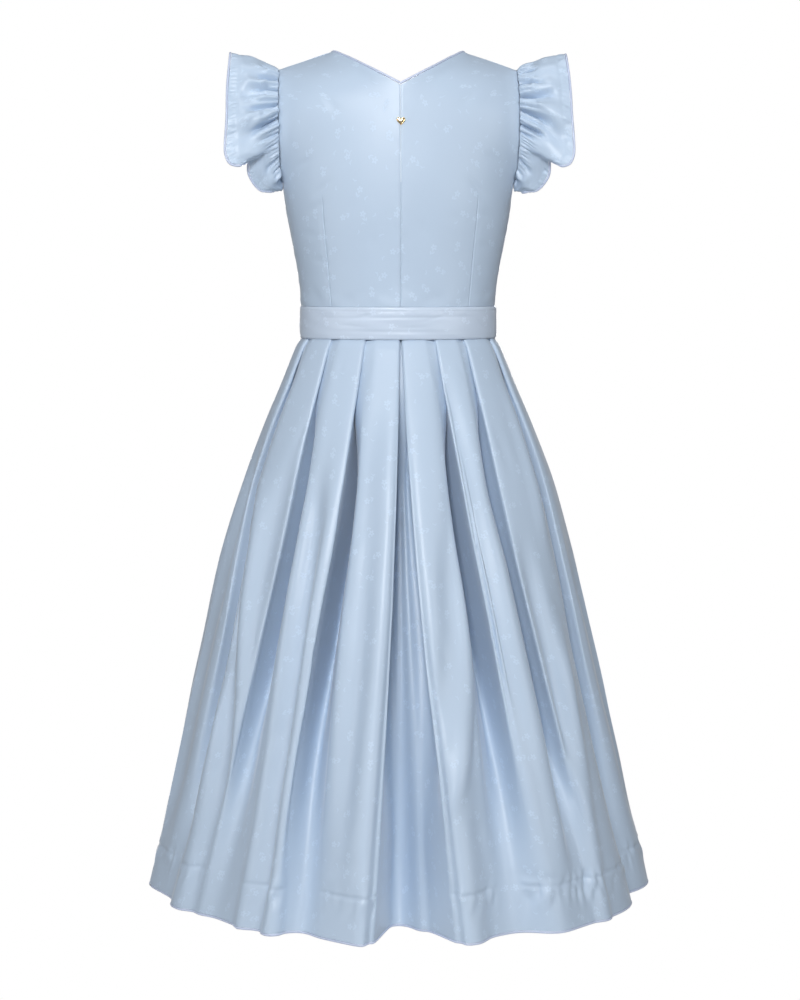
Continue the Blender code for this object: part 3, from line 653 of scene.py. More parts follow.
# Soft folds laid one by one on the wide panels between the pleats: the fold's half width in
# mm, its height, negative for a trough, and the level and angle of each point of its line.
SKIRT_FOLDS = (
    (20, -5, 0.3, 66, 0.42, 64, 0.79, 56, 0.91, 58, 1, 59),
    (17, 3.5, 0.26, 61, 0.42, 58, 0.79, 50, 1, 51),
    (15, -5, 0.22, 34, 0.33, 33, 0.6, 34, 0.88, 34.5, 1, 36),
    (13, 2.6, 0.25, 38, 0.45, 37.5, 0.8, 39.5, 1, 41),
    (11, 3, 0.28, 24, 0.35, 25, 0.49, 27, 0.63, 28, 0.8, 30, 1, 30),
    (14, -2.6, 0.12, 12, 0.3, 11, 0.55, 13, 0.8, 15),
    (12, 2, 0.15, 8, 0.45, 8, 0.7, 10, 0.92, 12),
    (10, 2.8, 0.22, -19.5, 0.3, -20, 0.57, -18, 0.74, -13, 0.8, -10),
    (12, -2.4, 0.34, -14, 0.5, -13, 0.66, -10),
    (11, -2.2, 0.05, -22, 0.1, -23, 0.28, -25, 0.38, -27, 0.52, -29, 0.63, -31, 0.7, -32),
    (15, 3.2, 0.3, -31, 0.48, -34, 0.66, -37, 0.9, -39),
    (13, -3.6, 0.36, -44, 0.42, -45, 0.55, -47, 0.68, -49, 0.76, -50),
    (16, 3, 0.5, -54, 0.7, -51.5, 0.91, -50, 1, -50),
    (14, -2, 0.2, 48, 0.32, 50, 0.46, 51),
    (18, -3.4, 0.18, 80, 0.4, 82, 0.66, 84, 0.9, 86),
    (20, -3.6, 0.35, -82, 0.6, -84, 0.88, -88),
    (12, 1.8, 0.1, -60, 0.22, -58, 0.36, -56),
    (22, 4, 0.3, 96, 0.6, 98, 0.95, 99),
    (20, -4, 0.35, 119, 0.65, 121, 1, 123),
    (22, -4, 0.3, 143, 0.7, 144, 0.95, 145),
    (20, -3.5, 0.4, 168, 0.7, 167, 1, 169),
    (22, 3.6, 0.3, -97, 0.6, -99, 0.95, -100),
    (20, -4, 0.35, -120, 0.7, -121, 1, -124),
    (22, -3.6, 0.3, -144, 0.65, -146, 1, -147),
    (20, -3.2, 0.4, -168, 0.75, -170, 1, -169),
)
# Short soft creases and dents: level and angle of both ends, half width and height in mm.
SKIRT_CREASES = (
    (0.045, -10.5, 0.078, -14.5, 4, -1.1), (0.025, 14, 0.06, 17.5, 4, -0.8),
    (0.03, 33, 0.075, 36, 5, -0.9), (0.035, -33, 0.08, -36.5, 5, -0.9),
    (0.02, 55, 0.05, 60, 5, -0.8), (0.66, 38, 0.7, 46, 12, -2),
    (0.5, -9, 0.58, -14, 10, -1.6), (0.8, -15, 0.86, -20, 12, -2),
    (0.12, 50, 0.2, 55, 9, -1.3), (0.15, -48, 0.24, -52, 9, -1.3),
    (0.34, 70, 0.4, 78, 12, -1.6), (0.44, -62, 0.5, -70, 12, -1.6),
    (0.86, 8, 0.9, 20, 10, -1.4), (0.9, -28, 0.93, -44, 10, -1.5),
    (0.3, 13, 0.36, 17, 8, -1.2), (0.72, 66, 0.78, 72, 12, -1.8),
)
FACING = 0.927  # level of the stitched top of the hem facing


def widening(level):
    """The skirt's width at a level as a share of the hem's, roughly."""
    return 0.45 + 0.55 * level


def skirt_lift(angle, level):
    """Folds, creases and seams on the skirt, in mm outward."""
    arc = 4.2 + 1.4 * np.abs(np.sin(np.radians(angle)))  # mm to a degree at the hem, roughly
    arc = arc * widening(level)
    lift = np.zeros(angle.shape)
    for wide, high, *line in SKIRT_FOLDS:
        at = hermite(line[::2], line[1::2], level)
        lo, hi = line[0], line[-2]
        inside = ease((level - lo + 0.05) / 0.16)
        if hi < 0.99:
            inside = inside * ease((hi + 0.06 - level) / 0.16)
        away = (angle - at + 180) % 360 - 180
        lift += FOLD_HIGHER * high * inside * bump(away * arc / (wide * FOLD_WIDER))
    for v0, a0, v1, a1, wide, high in SKIRT_CREASES:
        u0, u1 = a0 * 4.6 * widening(v0), a1 * 4.6 * widening(v1)
        v, v0, v1 = (share * SKIRT_SLANT for share in (level, v0, v1))
        lift += crease(angle * arc, v, u0, v0, u1, v1, wide, high)
    lift += 0.55 * wobble(angle / 60, level * 2.2, 4, 3.4, 7) * ease(level * 3)
    # The facing's seam, with small uneven puckers below it.
    from_seam = (level - FACING - 0.0018 * np.sin(np.radians(angle * 5))) * SKIRT_DROP
    lift += -1.1 * bump(from_seam / 4.0)
    lift += 1.6 * wobble(angle / 7, level * 5, 11, 4, 7, 1.5) * bump((from_seam - 8) / 26)
    return lift


def mitred(middle, flat):
    """Outward offsets, level and mitred at each point, of a wall of unit thickness."""
    ahead = unit(np.roll(middle, -1, 1)[..., :2] - middle[..., :2])
    behind = np.roll(ahead, 1, 1)
    square_a = np.stack([-ahead[..., 1], ahead[..., 0]], 2)
    square_b = np.stack([-behind[..., 1], behind[..., 0]], 2)
    mitre = (square_a + square_b) / np.maximum((1 + np.sum(square_a * square_b, 2))[..., None], 0.45)
    mitre = np.concatenate([mitre, np.zeros((*mitre.shape[:2], 1))], 2)
    return -mitre if np.sum(mitre[..., :2] * flat) < 0 else mitre


def off_seam(grid):
    """The grid with both ends of every row drawn in by half a seam."""
    grid = grid.copy()
    grid[:, 0] += unit(grid[:, 1] - grid[:, 0]) * SEAM / 2
    grid[:, -1] += unit(grid[:, -2] - grid[:, -1]) * SEAM / 2
    return grid


def skirt():
    down = np.linspace(0, 1, 2001)
    packed = np.cumsum(1 + 1.6 * bump(down / 0.10) + 2.4 * bump((down - FACING) / 0.045))
    levels = np.interp(np.linspace(packed[0], packed[-1], SKIRT_ROWS), packed, down)
    rows, spots, owners = [], [], []
    for level in levels:
        line, angles, panels = ring_middle(float(level))
        fine, at = rounded(line, angles, SKIRT_STEPS)
        # The jump from -180 to 180 degrees lies in the last gap of the ring.
        gap = angles[0] + 360 - angles[-1]
        at[-SKIRT_STEPS:] = angles[-1] + gap * np.arange(SKIRT_STEPS) / SKIRT_STEPS
        reach = SOFTEST * float(ease((level - SOFTEN_FROM) / SOFTEN_OVER))
        rows.append(softened(fine, reach, at))
        spots.append(at)
        owners.append(np.repeat(panels, SKIRT_STEPS))
    flat, angle = np.array(rows), np.array(spots)
    angle = (angle + 180) % 360 - 180
    level = np.broadcast_to(levels[:, None], angle.shape)
    z = WAIST_LOW - SEAM + (HEM - WAIST_LOW + SEAM) * levels
    grid = np.concatenate([flat, np.broadcast_to(z[:, None, None], (*angle.shape, 1))], 2)
    lift = skirt_lift(angle, level)
    # Cloth at the bottom of a groove stays where it is, so that walls never meet.
    point = outline(level, angle)[0]
    outside = np.sign(np.sum((flat - point) * point, axis=2))
    depth = np.hypot(*(point - flat).transpose(2, 0, 1)) * outside
    normal = grid_normals(grid, ring=True)
    normal[..., 2] = 0
    normal = unit(normal)
    if np.sum(normal[..., :2] * flat) < 0:
        normal = -normal
    facing = np.sum(normal[..., :2] * unit(flat), axis=2)
    lift *= ease((depth + 12) / 12) * ease(level * 14) * ease((facing - 0.2) / 0.5)
    middle = grid + normal * lift[..., None]
    # The pleats are drawn in a little where the band holds them.
    middle[..., :2] -= unit(flat) * (DRAWN_IN * (1 - ease(level / DRAWN_TO)))[..., None]
    wall = mitred(middle, flat) * (WALL / 2)
    angles = ring_middle(0.0)[1]
    right, left = (int(np.argmin(np.abs(angles - side))) * SKIRT_STEPS for side in (-90, 90))
    cols = middle.shape[1]
    for face, first, last in (("back", right, left), ("front", left, right)):
        count = (last - first) % cols + 1
        take = [(first + k) % cols for k in range(count)]
        length = along_rows(middle[:, take])
        # Each panel's cloth keeps its own straight grain: measured from its middle.
        own = owners[len(levels) // 2][take]
        bounds = [0] + [k for k in range(1, count) if own[k] != own[k - 1]] + [count]
        down = (levels * SKIRT_CLOTH + (0 if face == "back" else 900))[:, None]
        uv = np.zeros((len(levels) - 1, count - 1, 4, 2))
        for corner, (below, beside) in enumerate(((0, 0), (0, 1), (1, 1), (1, 0))):
            some = slice(below, len(levels) - 1 + below)
            uv[..., corner, 1] = down[some]
            for k, (a, b) in enumerate(zip(bounds, bounds[1:])):
                b = min(b, count - 1)
                local = length - ((length[:, a] + length[:, b]) / 2)[:, None] + k * GRAIN_APART
                uv[:, a:b, corner, 0] = local[some, a + beside : b + beside]
        walls = (off_seam((middle + side * wall)[:, take]) for side in (1, -1))
        sheet_mesh(f"skirt_{face}", *walls, uv)
        path = off_seam(middle[-1:, take])[0]
        keep = np.append(True, size(np.diff(path, axis=0)) > 0.4)
        keep[-1] = True
        path = path[keep]
        path[:, 2] -= PIPING / 2 + SEAM
        tube_mesh(f"hem_piping_{face}", path, np.tile([0.0, 0.0, 1.0], (len(path), 1)), 9)


# ------ bodice
FINE = 8  # fine rows to one row of a panel's table


def smooth_line(points, ring=False):
    """A smooth line through the points, FINE pieces to each gap."""
    if ring:
        points = np.concatenate([points[-1:], points, points[:2]])
    else:
        points = np.concatenate([[2 * points[0] - points[1]], points, [2 * points[-1] - points[-2]]])
    p0, p1, p2, p3 = (points[k : len(points) - 3 + k, None] for k in range(4))
    t = (np.arange(FINE) / FINE)[:, None]
    line = cubic(p1, p2, (p2 - p0) / 2, (p3 - p1) / 2, t).reshape(-1, 3)
    return line if ring else np.concatenate([line, points[-2:-1]])


def over_shoulder(back_from, front_from, k, ring=False):
    """An edge from the back over the shoulder to the front; k is its first column."""
    back = [row[k : k + 3] for row in BACK[back_from:]]
    front = [(row[k], -row[k + 1], row[k + 2]) for row in FRONT[front_from:-1]]
    return smooth_line(np.array(back + front[::-1], float), ring)


ARM = over_shoulder(UNDERARM, UNDERARM + 1, 3, ring=True)
NECK_LINE = over_shoulder(NECK_BACK, NECK_FRONT, 0)


def panel_ends(table, back):
    """The two ends of every fine row: at the seam or neckline, and at the side or armhole."""
    step = np.arange(SHOULDER * FINE + 1)
    ends = np.zeros((len(step), 2, 3))
    rows = np.array(table, float)
    start = NECK_BACK if back else NECK_FRONT
    for end, (top, begin, line) in enumerate(((start, NECK_BACK, NECK_LINE), (UNDERARM, UNDERARM, ARM))):
        for k in range(3):
            known = rows[: top + 1, 3 * end + k]
            ends[:, end, k] = hermite(np.arange(top + 1), known, np.minimum(step / FINE, top))
        free = step >= top * FINE
        at = step - begin * FINE if back else (2 * SHOULDER - begin) * FINE - step
        ends[free, end] = line[at[free] % len(line)] * (1, 1 if back else -1, 1)
    return ends, [hermite(np.arange(SHOULDER + 1), rows[:, k], step / FINE) for k in (6, 7, 8, 9)]


def row_points(ends, angles, shares):
    """Points at `shares` of each row's curve; shares has a row for each row."""
    run_in, head_in, run_out, head_out = (a[:, None] for a in angles)
    a, d = ends[:, 0][:, None], ends[:, 1][:, None]
    h_in, h_out = np.radians(head_in), np.radians(head_out)
    third = (d[..., 2] - a[..., 2]) / 3
    b = a + np.stack([run_in * np.cos(h_in), run_in * np.sin(h_in), third], -1)
    c = d - np.stack([run_out * np.cos(h_out), run_out * np.sin(h_out), third], -1)
    t = shares[..., None]
    return a * (1 - t) ** 3 + 3 * b * t * (1 - t) ** 2 + 3 * c * t**2 * (1 - t) + d * t**3


# The darts: x at the waist and at the tip, and the tip's height.
DARTS = {"back": (86.5, 99.5, -178.0), "front": (70.0, 62.0, -215.0)}
DART_BASE = -323
# Soft creases in the backs' cloth: x and z of both ends for the wearer's left half, with
# the half width and height in mm. The right half has its own.
BACK_CREASES = {
    1: (
        (112, -186, 84, -164, 7, -1.3), (118, -206, 92, -192, 6, -0.9), (122, -230, 104, -236, 5, -0.9),
        (60, -318, 44, -300, 5, -0.7), (100, -318, 112, -296, 5, -1), (20, -316, 14, -292, 5, -0.5),
        (132, -150, 110, -138, 6, -1), (98, -58, 76, -84, 8, -0.8), (112, -262, 92, -268, 5, -0.7),
        (40, -250, 30, -232, 9, -0.6), (70, -210, 52, -190, 10, -0.6),
    ),
    -1: (
        (112, -190, 80, -160, 7, -1.4), (120, -212, 96, -204, 6, -0.9), (118, -248, 98, -244, 5, -0.9),
        (52, -318, 36, -298, 5, -0.7), (104, -318, 114, -300, 5, -1), (24, -318, 12, -300, 5, -0.6),
        (130, -146, 106, -130, 6, -1.1), (94, -54, 70, -78, 8, -0.8), (110, -280, 94, -272, 5, -0.8),
        (34, -240, 20, -214, 9, -0.6), (76, -220, 60, -206, 10, -0.6),
    ),
}


def column_shares():
    """Even shares, closer together round the dart (at 0.5) and at both edges."""
    near = [0, 0.003, 0.008, 0.016, 0.028, 0.045, 0.068]
    close = [0.0, 0.003, 0.0065, 0.011, 0.017, 0.025, 0.036, 0.052, 0.075]
    half = near + list(np.linspace(0.095, 0.405, 11)) + [0.5 - c for c in close[::-1]]
    return np.array(half + [1 - h for h in half[-2::-1]])


def evened(grid):
    """The rows fan out at the underarm; the cloth between its edges is evened out there."""
    length = along_rows(grid)
    inset = np.minimum(length, length[:, -1:] - length)
    even = (0.5 * ease(inset / 22))[..., None]
    for _ in range(90):
        mean = grid.copy()
        mean[1:-1] = (grid[2:] + grid[:-2]) / 2
        mean[:2] = grid[:2]
        grid = grid + (mean - grid) * even
    return grid


def bodice_panel(table, face, x_sign, seed):
    back = face == "back"
    ends, angles = panel_ends(table, back)
    count = len(ends)
    tries = np.linspace(0, 1, 201)
    coarse = row_points(ends, angles, np.tile(tries, (count, 1)))
    foot, tip, z_tip = DARTS[face]
    z_row = coarse[:, len(tries) // 2, 2]
    dart_x = foot + (tip - foot) * np.clip((z_row - DART_BASE) / (z_tip - DART_BASE), 0, 1.15)
    lines = [np.maximum.accumulate(line[:, 0]) for line in coarse]
    dart = np.array([np.interp(x, line, tries) for x, line in zip(dart_x, lines)])
    stop = int(np.argmax(z_row > z_tip + 12))
    dart[stop:] = dart[stop] + (0.55 - dart[stop]) * ease(np.arange(count - stop) / (count - stop))
    s, dart = column_shares(), dart[:, None]
    shares = np.where(s[None] < 0.5, s[None] * 2 * dart, 1 - (1 - s[None]) * 2 * (1 - dart))
    grid = evened(row_points(ends, angles, shares))
    normal = grid_normals(grid)
    if normal[20, 20, 1] < 0:
        normal = -normal
    on_seam = np.arange(count) <= (NECK_BACK if back else NECK_FRONT) * FINE
    on_side = np.arange(count) <= UNDERARM * FINE
    normal[on_seam, 0, 0] = 0
    normal[on_side, -1] = (1, 0, 0)
    normal[-1, :, 1] = 0
    normal = unit(normal)
    x, z = grid[..., 0], grid[..., 2]
    length = along_rows(grid)
    from_end = length[:, -1:] - length
    middle = int(np.argmin(np.abs(s - 0.5)))
    from_dart = length - length[:, middle : middle + 1]
    lift = np.zeros(x.shape)
    # The dart: a stitched dip with a soft fold lying towards the middle, small puckers.
    held = ease((z_tip - z) / 26)
    lift -= held * (0.8 * bump(from_dart / 1.3) + 0.25 * bump((from_dart - 3.0) / 4.0))
    pucker = wobble(x / 40, z / 26, seed + 2)
    lift += 0.13 * pucker * held * bump(from_dart / 10)
    # The middle and side seams roll in, with small puckers beside them.
    seam_in, seam_out = on_seam[:, None] * 1.0, on_side[:, None] * 1.0
    lift -= 0.75 * seam_in * bump(length / 1.6) + 0.22 * seam_in * bump((length - 7) / 2.0)
    lift -= 0.75 * seam_out * bump(from_end / 1.8)
    beside = seam_in * bump(length / 15) * ease(length / 3)
    beside += seam_out * bump(from_end / 15) * ease(from_end / 3)
    lift += 0.22 * wobble(x / 60, z / 22, seed + 5) * beside
    lift += 0.30 * wobble(x / 150, z / 170, seed, 3)
    # The gathering of the frill and the weight of the band pull the edges a little.
    arm_edge = 1 - seam_out
    step = np.arange(count)[:, None] / FINE
    lift += 0.30 * arm_edge * bump(from_end / 13) * np.sin(step * 7.1 + 1.4 * np.sin(step * 2.3))
    lift -= 0.5 * arm_edge * bump(from_end / 1.6)
    if back:
        for line in BACK_CREASES[x_sign]:
            lift += crease(x, z, *line)
        lift += 0.5 * bump((z + 316) / 12) * wobble(x / 52, z / 60, seed + 8, 3, 5)
    outer = grid + normal * lift[..., None]
    inner = outer - normal * WALL
    for points in (outer, inner):
        points[on_seam, 0, 0] = SEAM / 2
        points[on_side, -1, 1] = SEAM / 2
        points[-1, :, 1] = SEAM / 2
    sign = np.array([x_sign, 1 if back else -1, 1])
    down = np.broadcast_to(-run_along(grid[:, middle])[:, None], x.shape) + (0 if back else 700)
    return outer * sign, inner * sign, np.stack([length + 400 * x_sign, down], 2)


PIPING_GAP = PIPING / 2 + 0.22
V_WIDER = (1.28, 1.17, 1.08, 1.03)  # of that gap at the V of the neckline, where the piping turns


def bodice():
    necks = {}
    seed = 20
    for side, x_sign in SIDES:
        for face, table in (("back", BACK), ("front", FRONT)):
            outer, inner, uv = bodice_panel(table, face, x_sign, seed)
            seed += 30
            sheet_mesh(f"bodice_{face}_{side}", outer, inner, uv)
            start = (NECK_BACK if face == "back" else NECK_FRONT) * FINE
            middle = (outer + inner) / 2
            edge = middle[start:, 0]
            away = square_away(edge, middle[start:, 4])
            away[0] = unit(away[0] * (0, 1, 1))
            gap = np.full((len(edge), 1), PIPING_GAP)
            gap[: len(V_WIDER), 0] *= V_WIDER
            necks[face, side] = edge + away * gap, unit(outer - inner)[start:, 0]
    for face, y_sign in FACES:
        left, up_left = necks[face, "left"]
        right, up_right = necks[face, "right"]
        path = np.concatenate([right[::-1], left[1:]])
        up = np.concatenate([up_right[::-1], up_left[1:]])
        middle = len(right) - 1
        path[middle, 0] = 0
        up[middle] = unit(up[middle] * (0, 1, 1))
        path[[0, -1], 1] = y_sign * SEAM / 2
        tube_mesh(f"neck_piping_{face}", path, up, 12)


# ------ frills
FRILL_COLUMNS, FRILL_FINE = 616, 36
ROWS_ROUND = 14.0  # rows of the frill's table once round the armhole
CROWN, CROWN_STRONG, ELSE_STRONG = (2.9, 6.9), 2.6, 1.5  # rows of the strongest folds
# Uneven deeper folds in the frills: row from the underarm (7 at the shoulder), the share
# across where it starts unless that is the seam, and where it ends, half width in rows, and
# height in mm.
FRILL_FOLDS = {
    1: (
        (6.62, 0.34, 0.1, -3), (6.3, 0.42, 0.12, -3.4), (6.02, 0.36, 0.1, 2),
        (5.74, 0.5, 0.13, -3.6), (5.3, 0.4, 0.12, 2.2), (4.95, 0.72, 0.15, -4.6),
        (4.45, 0.6, 0.13, 2.6), (4.12, 0.8, 0.15, -4.2), (3.72, 0.62, 0.12, 2.4),
        (3.42, 0.66, 0.13, -3.6), (3.08, 0.5, 0.11, 2.2), (2.74, 0.48, 0.1, -2.6),
        (1.72, 0.6, 0.12, -2.2), (1.25, 0.5, 0.12, -1.8), (0.8, 0.5, 0.12, -1.4),
        (5.2, 0.25, 1, 0.3, 2), (3.9, 0.35, 1, 0.28, 1.6), (4.7, 0.3, 1, 0.25, -1.6),
        (8.6, 0.6, 0.16, -3.4), (9.4, 0.7, 0.18, -3.6), (10.3, 0.6, 0.16, -3.2),
        (11.1, 0.7, 0.18, -3.2), (12.1, 0.6, 0.16, -2.6), (13, 0.5, 0.16, -1.8),
        (9, 0.1, 1, 0.24, 2), (10.7, 0.1, 1, 0.24, 2),
    ),
    -1: (
        (6.66, 0.36, 0.1, -3.2), (6.38, 0.34, 0.1, 1.8), (6.1, 0.46, 0.12, -3.4),
        (5.66, 0.4, 0.12, 2.2), (5.36, 0.56, 0.13, -3.8), (4.98, 0.4, 0.12, 2),
        (4.62, 0.78, 0.15, -4.4), (4.18, 0.6, 0.12, 2.4), (3.86, 0.74, 0.14, -4.2),
        (3.4, 0.6, 0.12, 2.4), (3.12, 0.56, 0.12, -3.2), (2.8, 0.46, 0.1, -2.4),
        (1.66, 0.6, 0.12, -2.2), (1.2, 0.5, 0.12, -1.8), (0.75, 0.5, 0.12, -1.4),
        (5.4, 0.25, 1, 0.3, 1.8), (4.2, 0.35, 1, 0.28, 1.6), (3.6, 0.4, 1, 0.25, -1.4),
        (8.5, 0.6, 0.16, -3.2), (9.5, 0.7, 0.18, -3.6), (10.2, 0.6, 0.16, -3),
        (11.2, 0.7, 0.18, -3.2), (12, 0.6, 0.16, -2.6), (12.9, 0.5, 0.16, -1.8),
        (8.9, 0.1, 1, 0.24, 2), (10.8, 0.1, 1, 0.24, 2),
    ),
}


def near_lobe(rows):
    off = np.minimum(np.abs(rows - LOBE_AT) / LOBE_REACH, 1)
    return (1 - off * off) ** 2


def frill(x_sign, side, seed):
    sign = np.array([x_sign, 1, 1])
    seam = ARM * sign
    lengths = size(np.roll(seam, -1, 0) - seam)
    dense = lengths * (1 + 0.9 * near_lobe(np.arange(len(seam)) / FINE))
    along, packed = running(lengths), running(dense)
    at = np.linspace(0, packed[-1], FRILL_COLUMNS, endpoint=False)
    index = np.interp(at, packed, np.arange(len(packed)))
    rows_at = index / FINE
    place = np.interp(at, packed, along) / along[-1]
    turn = 2 * math.pi * place
    wrap = np.arange(len(seam) + 1) % len(seam)
    seam = np.stack([np.interp(index, np.arange(len(wrap)), seam[wrap, k]) for k in range(3)], 1)
    table = np.array(FRILL_EDGE)
    once = np.array([ROWS_ROUND, 0, 0, 0])
    table = np.concatenate([table[-3:] - once, table, table[:3] + once])
    edge = np.stack([hermite(table[:, 0], table[:, k], rows_at) for k in (1, 2, 3)], 1) * sign
    for _ in range(3):
        edge = (np.roll(edge, 3, 0) + edge * 2 + np.roll(edge, -3, 0)) / 4
    seam = seam + unit(edge - seam) * (WALL / 2 + SEAM / 2)
    shares = np.linspace(0, 1, FRILL_FINE)
    base = seam[None] + (edge - seam)[None] * shares[:, None, None]
    normal = grid_normals(base, ring=True)
    if np.sum(normal * (base - seam.mean(0))) < 0:
        normal = -normal
    # Waves round the armhole: the gathers, slower ones towards the edge, and at the seam
    # two kinds of tight ones.
    wave = np.sin(FRILL_GATHERS * turn + 0.6 * np.sin(2 * turn + 0.5))
    half = np.sin(FRILL_GATHERS / 2 * turn + 0.7 * np.sin(3 * turn))
    tight = np.sin(34 * turn + 2.4 * np.sin(5 * turn + seed) + 1.5 * np.sin(11 * turn))
    tighter = np.sin(71 * turn + 2.2 * np.sin(7 * turn + 2 * seed) + 1.4 * np.sin(13 * turn + 1))
    uneven = 0.6 + 0.4 * np.sin(9 * turn + seed)
    calm = 1 - 0.75 * near_lobe(rows_at)
    lifts = []
    for share in shares:
        height, slow = (hermite(column(FRILL_ROWS, 0), column(FRILL_ROWS, k), share) for k in (1, 2))
        lift = calm * (height * ((1 - slow) * wave + slow * half) + 4.0 * math.sin(math.pi * share))
        near = float(ease(share / 0.11) * ease((0.5 - share) / 0.46))
        lift = lift + near * (2.1 * tight * uneven * (0.4 + 0.6 * calm) + 0.6 * tighter)
        for row, *lo, hi, wide, high in FRILL_FOLDS[x_sign]:
            lo = lo[0] if lo else 0
            strong = CROWN_STRONG if CROWN[0] < row < CROWN[1] else ELSE_STRONG
            spread = wide * (1 + 1.1 * share)
            held = float(ease((share - lo + 0.05) / 0.10) * ease((hi - share) / (0.55 * (hi - lo))))
            off = rows_at - row - 0.35 * share * math.sin(row * 3)
            lift = lift + strong * high * held * bump(off / spread)
        lift = lift + 0.6 * wobble(place * 9, share * 1.4, seed + 3, 3) * float(ease(share * 3))
        # The stitched hem of the frill, a little inside its edge, and its puckers.
        lift = lift - 0.55 * float(bump((share - 0.84) / 0.03))
        pull = float(bump((share - 0.91) / 0.10))
        lifts.append(lift + 0.42 * wobble(place * 46, share * 1.2, seed + 6, 3) * pull)
    grid = base + normal * np.array(lifts)[..., None]
    normal = grid_normals(grid, ring=True)
    length = along_rows(np.concatenate([grid, grid[:, :1]], 1))[FRILL_FINE // 2]
    across = running(size(np.diff(grid, axis=0)).mean(1))
    u, v = np.meshgrid(length * 1.25, across)
    uv = np.stack([u, v + 1500 + 200 * x_sign], 2)
    walls = (grid + normal * WALL / 2, grid - normal * WALL / 2)
    sheet_mesh(f"frill_{side}", *walls, uv, ring=True)
    path = grid[-1] + square_away(grid[-1], grid[-3], ring=True) * (PIPING / 2 + 0.2)
    tube_mesh(f"frill_piping_{side}", path, normal[-1], 9, ring=True)


# ------ waistband
BAND_CREASES = {
    # degrees and share down of both ends, half width in mm, height in mm
    1: (
        (-62, 0.3, 60, 0.34, 3, -0.55), (-40, 0.78, 44, 0.74, 3.2, -0.45), (10, 0.15, 34, 0.42, 3, -0.5),
        (-30, 0.2, -12, 0.45, 3, -0.45), (48, 0.2, 60, 0.7, 3, -0.5), (-60, 0.75, -48, 0.3, 3, -0.5),
        (20, 0.62, 42, 0.52, 3, -0.35), (-20, 0.58, 2, 0.66, 3, -0.3),
    ),
    -1: ((-60, 0.3, 60, 0.35, 3, -0.5), (-40, 0.75, 30, 0.7, 3, -0.4), (15, 0.2, 40, 0.5, 3, -0.4)),
}
BAND_COLUMNS, BAND_ROWS = 181, 41
BAND_WIDE, BAND_DEEP = 124.4, {1: 93.0, -1: 92.0}  # its inner line's half axes, mm
BAND_SEEDS = {1: 140, -1: 150}
# How far the band stands proud of that line, in mm, at shares down it.
BAND_SHARES, BAND_PROUD = (0, 0.03, 0.1, 0.5, 0.9, 0.97, 1), (0.2, 1, 1.5, 1.7, 1.5, 1, 0.3)
BAND_ARC = 1.9  # mm to a degree


def waistband(face, y_sign):
    share = np.linspace(0, 1, BAND_ROWS)
    share = share - 0.10 * np.sin(2 * math.pi * share) / (2 * math.pi)
    s = share[:, None]
    proud = hermite(BAND_SHARES, BAND_PROUD, share)[:, None]
    degrees = np.linspace(-90, 90, BAND_COLUMNS)[None]
    tall = WAIST_TOP - WAIST_LOW
    seed = BAND_SEEDS[y_sign]
    # The two stitched lines with their puckers, slow waves and the listed creases.
    lift = -0.30 * bump((s - 0.125 - 0.008 * np.sin(degrees / 11)) / 0.035)
    lift += 0.20 * wobble(degrees / 14, s * 1.5, seed) * bump((s - 0.13) / 0.16)
    lift -= 0.25 * bump((s - 0.90) / 0.03)
    lift += 0.28 * wobble(degrees / 55, s * 1.2, seed + 4, 3) * ease(s / 0.1) * ease((1 - s) / 0.1)
    for a0, s0, a1, s1, wide, high in BAND_CREASES[y_sign]:
        at = (a0 * BAND_ARC, s0 * tall, a1 * BAND_ARC, s1 * tall)
        lift += crease(degrees * BAND_ARC, s * tall, *at, wide, high)
    angle = np.radians(degrees)
    z = np.broadcast_to(WAIST_TOP + (WAIST_LOW - WAIST_TOP) * s, lift.shape)
    made = []
    for off in (proud + 0.8 * lift, proud + 0.3 * lift - BAND_WALL):
        x = (BAND_WIDE + off) * np.sin(angle)
        y = (BAND_DEEP[y_sign] + 0.4 + off) * np.cos(angle)
        y[:, [0, -1]] = SEAM / 2
        made.append(np.stack([x, y * y_sign, z], 2))
    u, v = np.meshgrid(along_rows(made[0])[BAND_ROWS // 2], share * tall)
    uv = np.stack([u, v + 2000 + 100 * y_sign], 2)
    sheet_mesh(f"waistband_{face}", *made, uv, BAND_CLOTH)


# ------ heart stud
HEART_POINTS, HEART_WIDE, HEART_TALL, HEART_Y, HEART_Z = 128, 11.0, 11.6, 95.7, -94.0
# Share of the heart's outline and mm out from its base: side, rounded rim, groove, dome.
HEART_LOOPS = [(0.9, 0), (0.96, 0.1), (1, 0.45), (1, 1.05), (0.985, 1.35), (0.945, 1.52),
               (0.9, 1.5), (0.865, 1.36), (0.85, 1.24), (0.83, 1.24), (0.78, 1.42)]
DOME = np.radians(np.linspace(8, 82, 12))
HEART_LOOPS += [(0.78 * math.cos(a), 1.42 + 0.98 * math.sin(a)) for a in DOME]
HEART_TOP = 2.4


def heart():
    count = HEART_POINTS
    t = 2 * math.pi * np.arange(count) / count
    x = np.sin(t) ** 3
    z = (13 * np.cos(t) - 5 * np.cos(2 * t) - 2 * np.cos(3 * t) - np.cos(4 * t)) / 16
    x, z = x * HEART_WIDE / 2, (z + 0.15) * HEART_TALL / 2
    points = [
        (-x[k] * s, HEART_Y + out, HEART_Z + z[k] * s) for s, out in HEART_LOOPS for k in range(count)
    ]
    faces = [list(range(count))[::-1]] + grid_quads(len(HEART_LOOPS), count, count)[0].tolist()
    top = (len(HEART_LOOPS) - 1) * count
    points.append((0, HEART_Y + HEART_TOP, HEART_Z + 0.1))
    faces += [(top + k, top + (k + 1) % count, len(points) - 1) for k in range(count)]
    finish_mesh("heart_stud_gold", points, faces, None, GOLD, "heart_stud")


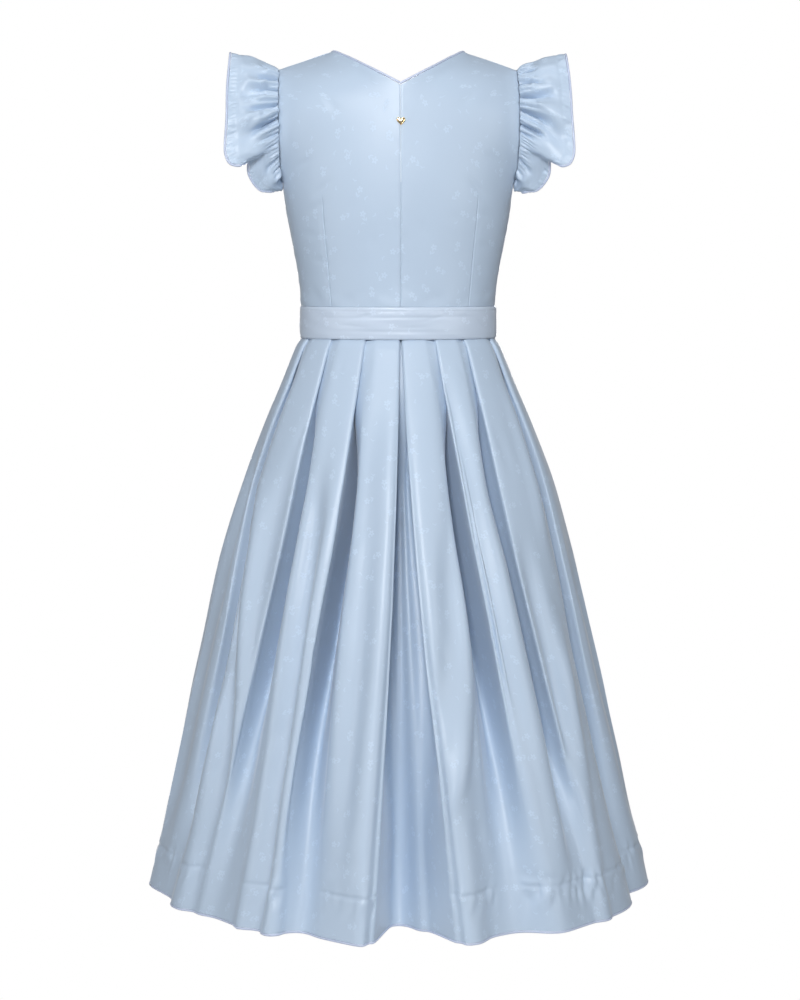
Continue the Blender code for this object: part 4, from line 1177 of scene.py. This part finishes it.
# ------ floor and light
FLOOR_Z, FLOOR_RADIUS, FLOOR_COLOUR = -1.6, 1.25, (0.88, 0.88, 0.88, 1)
WORLD_COLOUR, WORLD_STRENGTH = (0.95, 0.97, 1, 1), 0.13
# Softboxes: place, what they face, width, height in metres, and watts.
LIGHTS = {
    "key": ((0.35, 2.9, 1.0), (0, 0.1, -0.75), 0.8, 0.8, 72),
    "fill": ((-2.2, 1.9, 0.1), (0, 0, -0.5), 1.2, 1.6, 17),
    "fill_left": ((2.2, 1.5, -0.2), (0, 0, -0.5), 1.2, 1.6, 12),
    "front_key": ((-0.15, -3.0, -0.2), (0, 0, -0.55), 1.2, 1.2, 66),
    "top": ((0.0, 0.6, 2.4), (0, 0.1, -0.4), 0.9, 0.9, 14),
}


def softbox(name, place, target, wide, tall, power):
    data = bpy.data.lights.new(name, "AREA")
    data.shape = "RECTANGLE"
    data.size, data.size_y, data.energy = wide, tall, power
    made = add_object(name, data)
    made.location = place
    made.rotation_euler = (Vector(target) - Vector(place)).to_track_quat("-Z", "Y").to_euler()


def stage():
    bpy.ops.mesh.primitive_circle_add(
        vertices=128, radius=FLOOR_RADIUS, fill_type="NGON", location=(0, 0, FLOOR_Z))
    floor = bpy.context.object
    floor.name = "floor"
    inputs = {"Base Color": FLOOR_COLOUR, "Roughness": 0.9, "Specular IOR Level": 0.1}
    floor.data.materials.append(new_material("floor", inputs)[0])
    # A white room: pale where it is seen, dim where it lights the dress, so that the
    # softboxes model the folds.
    world = bpy.data.worlds.new("studio")
    world.use_nodes = True
    tree = world.node_tree
    dim = tree.nodes["Background"]
    feed(tree, dim, {0: WORLD_COLOUR, 1: WORLD_STRENGTH})
    pale = node(tree, "ShaderNodeBackground", {0: (1, 1, 1, 1), 1: 1.0})
    path = node(tree, "ShaderNodeLightPath", {})
    inputs = {0: path.outputs["Is Camera Ray"], 1: dim.outputs[0], 2: pale.outputs[0]}
    both = node(tree, "ShaderNodeMixShader", inputs)
    feed(tree, tree.nodes["World Output"], {0: both.outputs[0]})
    bpy.context.scene.world = world
    for name, values in LIGHTS.items():
        softbox(name, *values)
    view = bpy.context.scene.view_settings
    view.view_transform = "Standard"
    view.look = "None"


bodice()
for number, (side, x_sign) in enumerate(SIDES):
    frill(x_sign, side, 3 + 40 * number)
for face, y_sign in FACES:
    waistband(face, y_sign)
skirt()
heart()
stage()
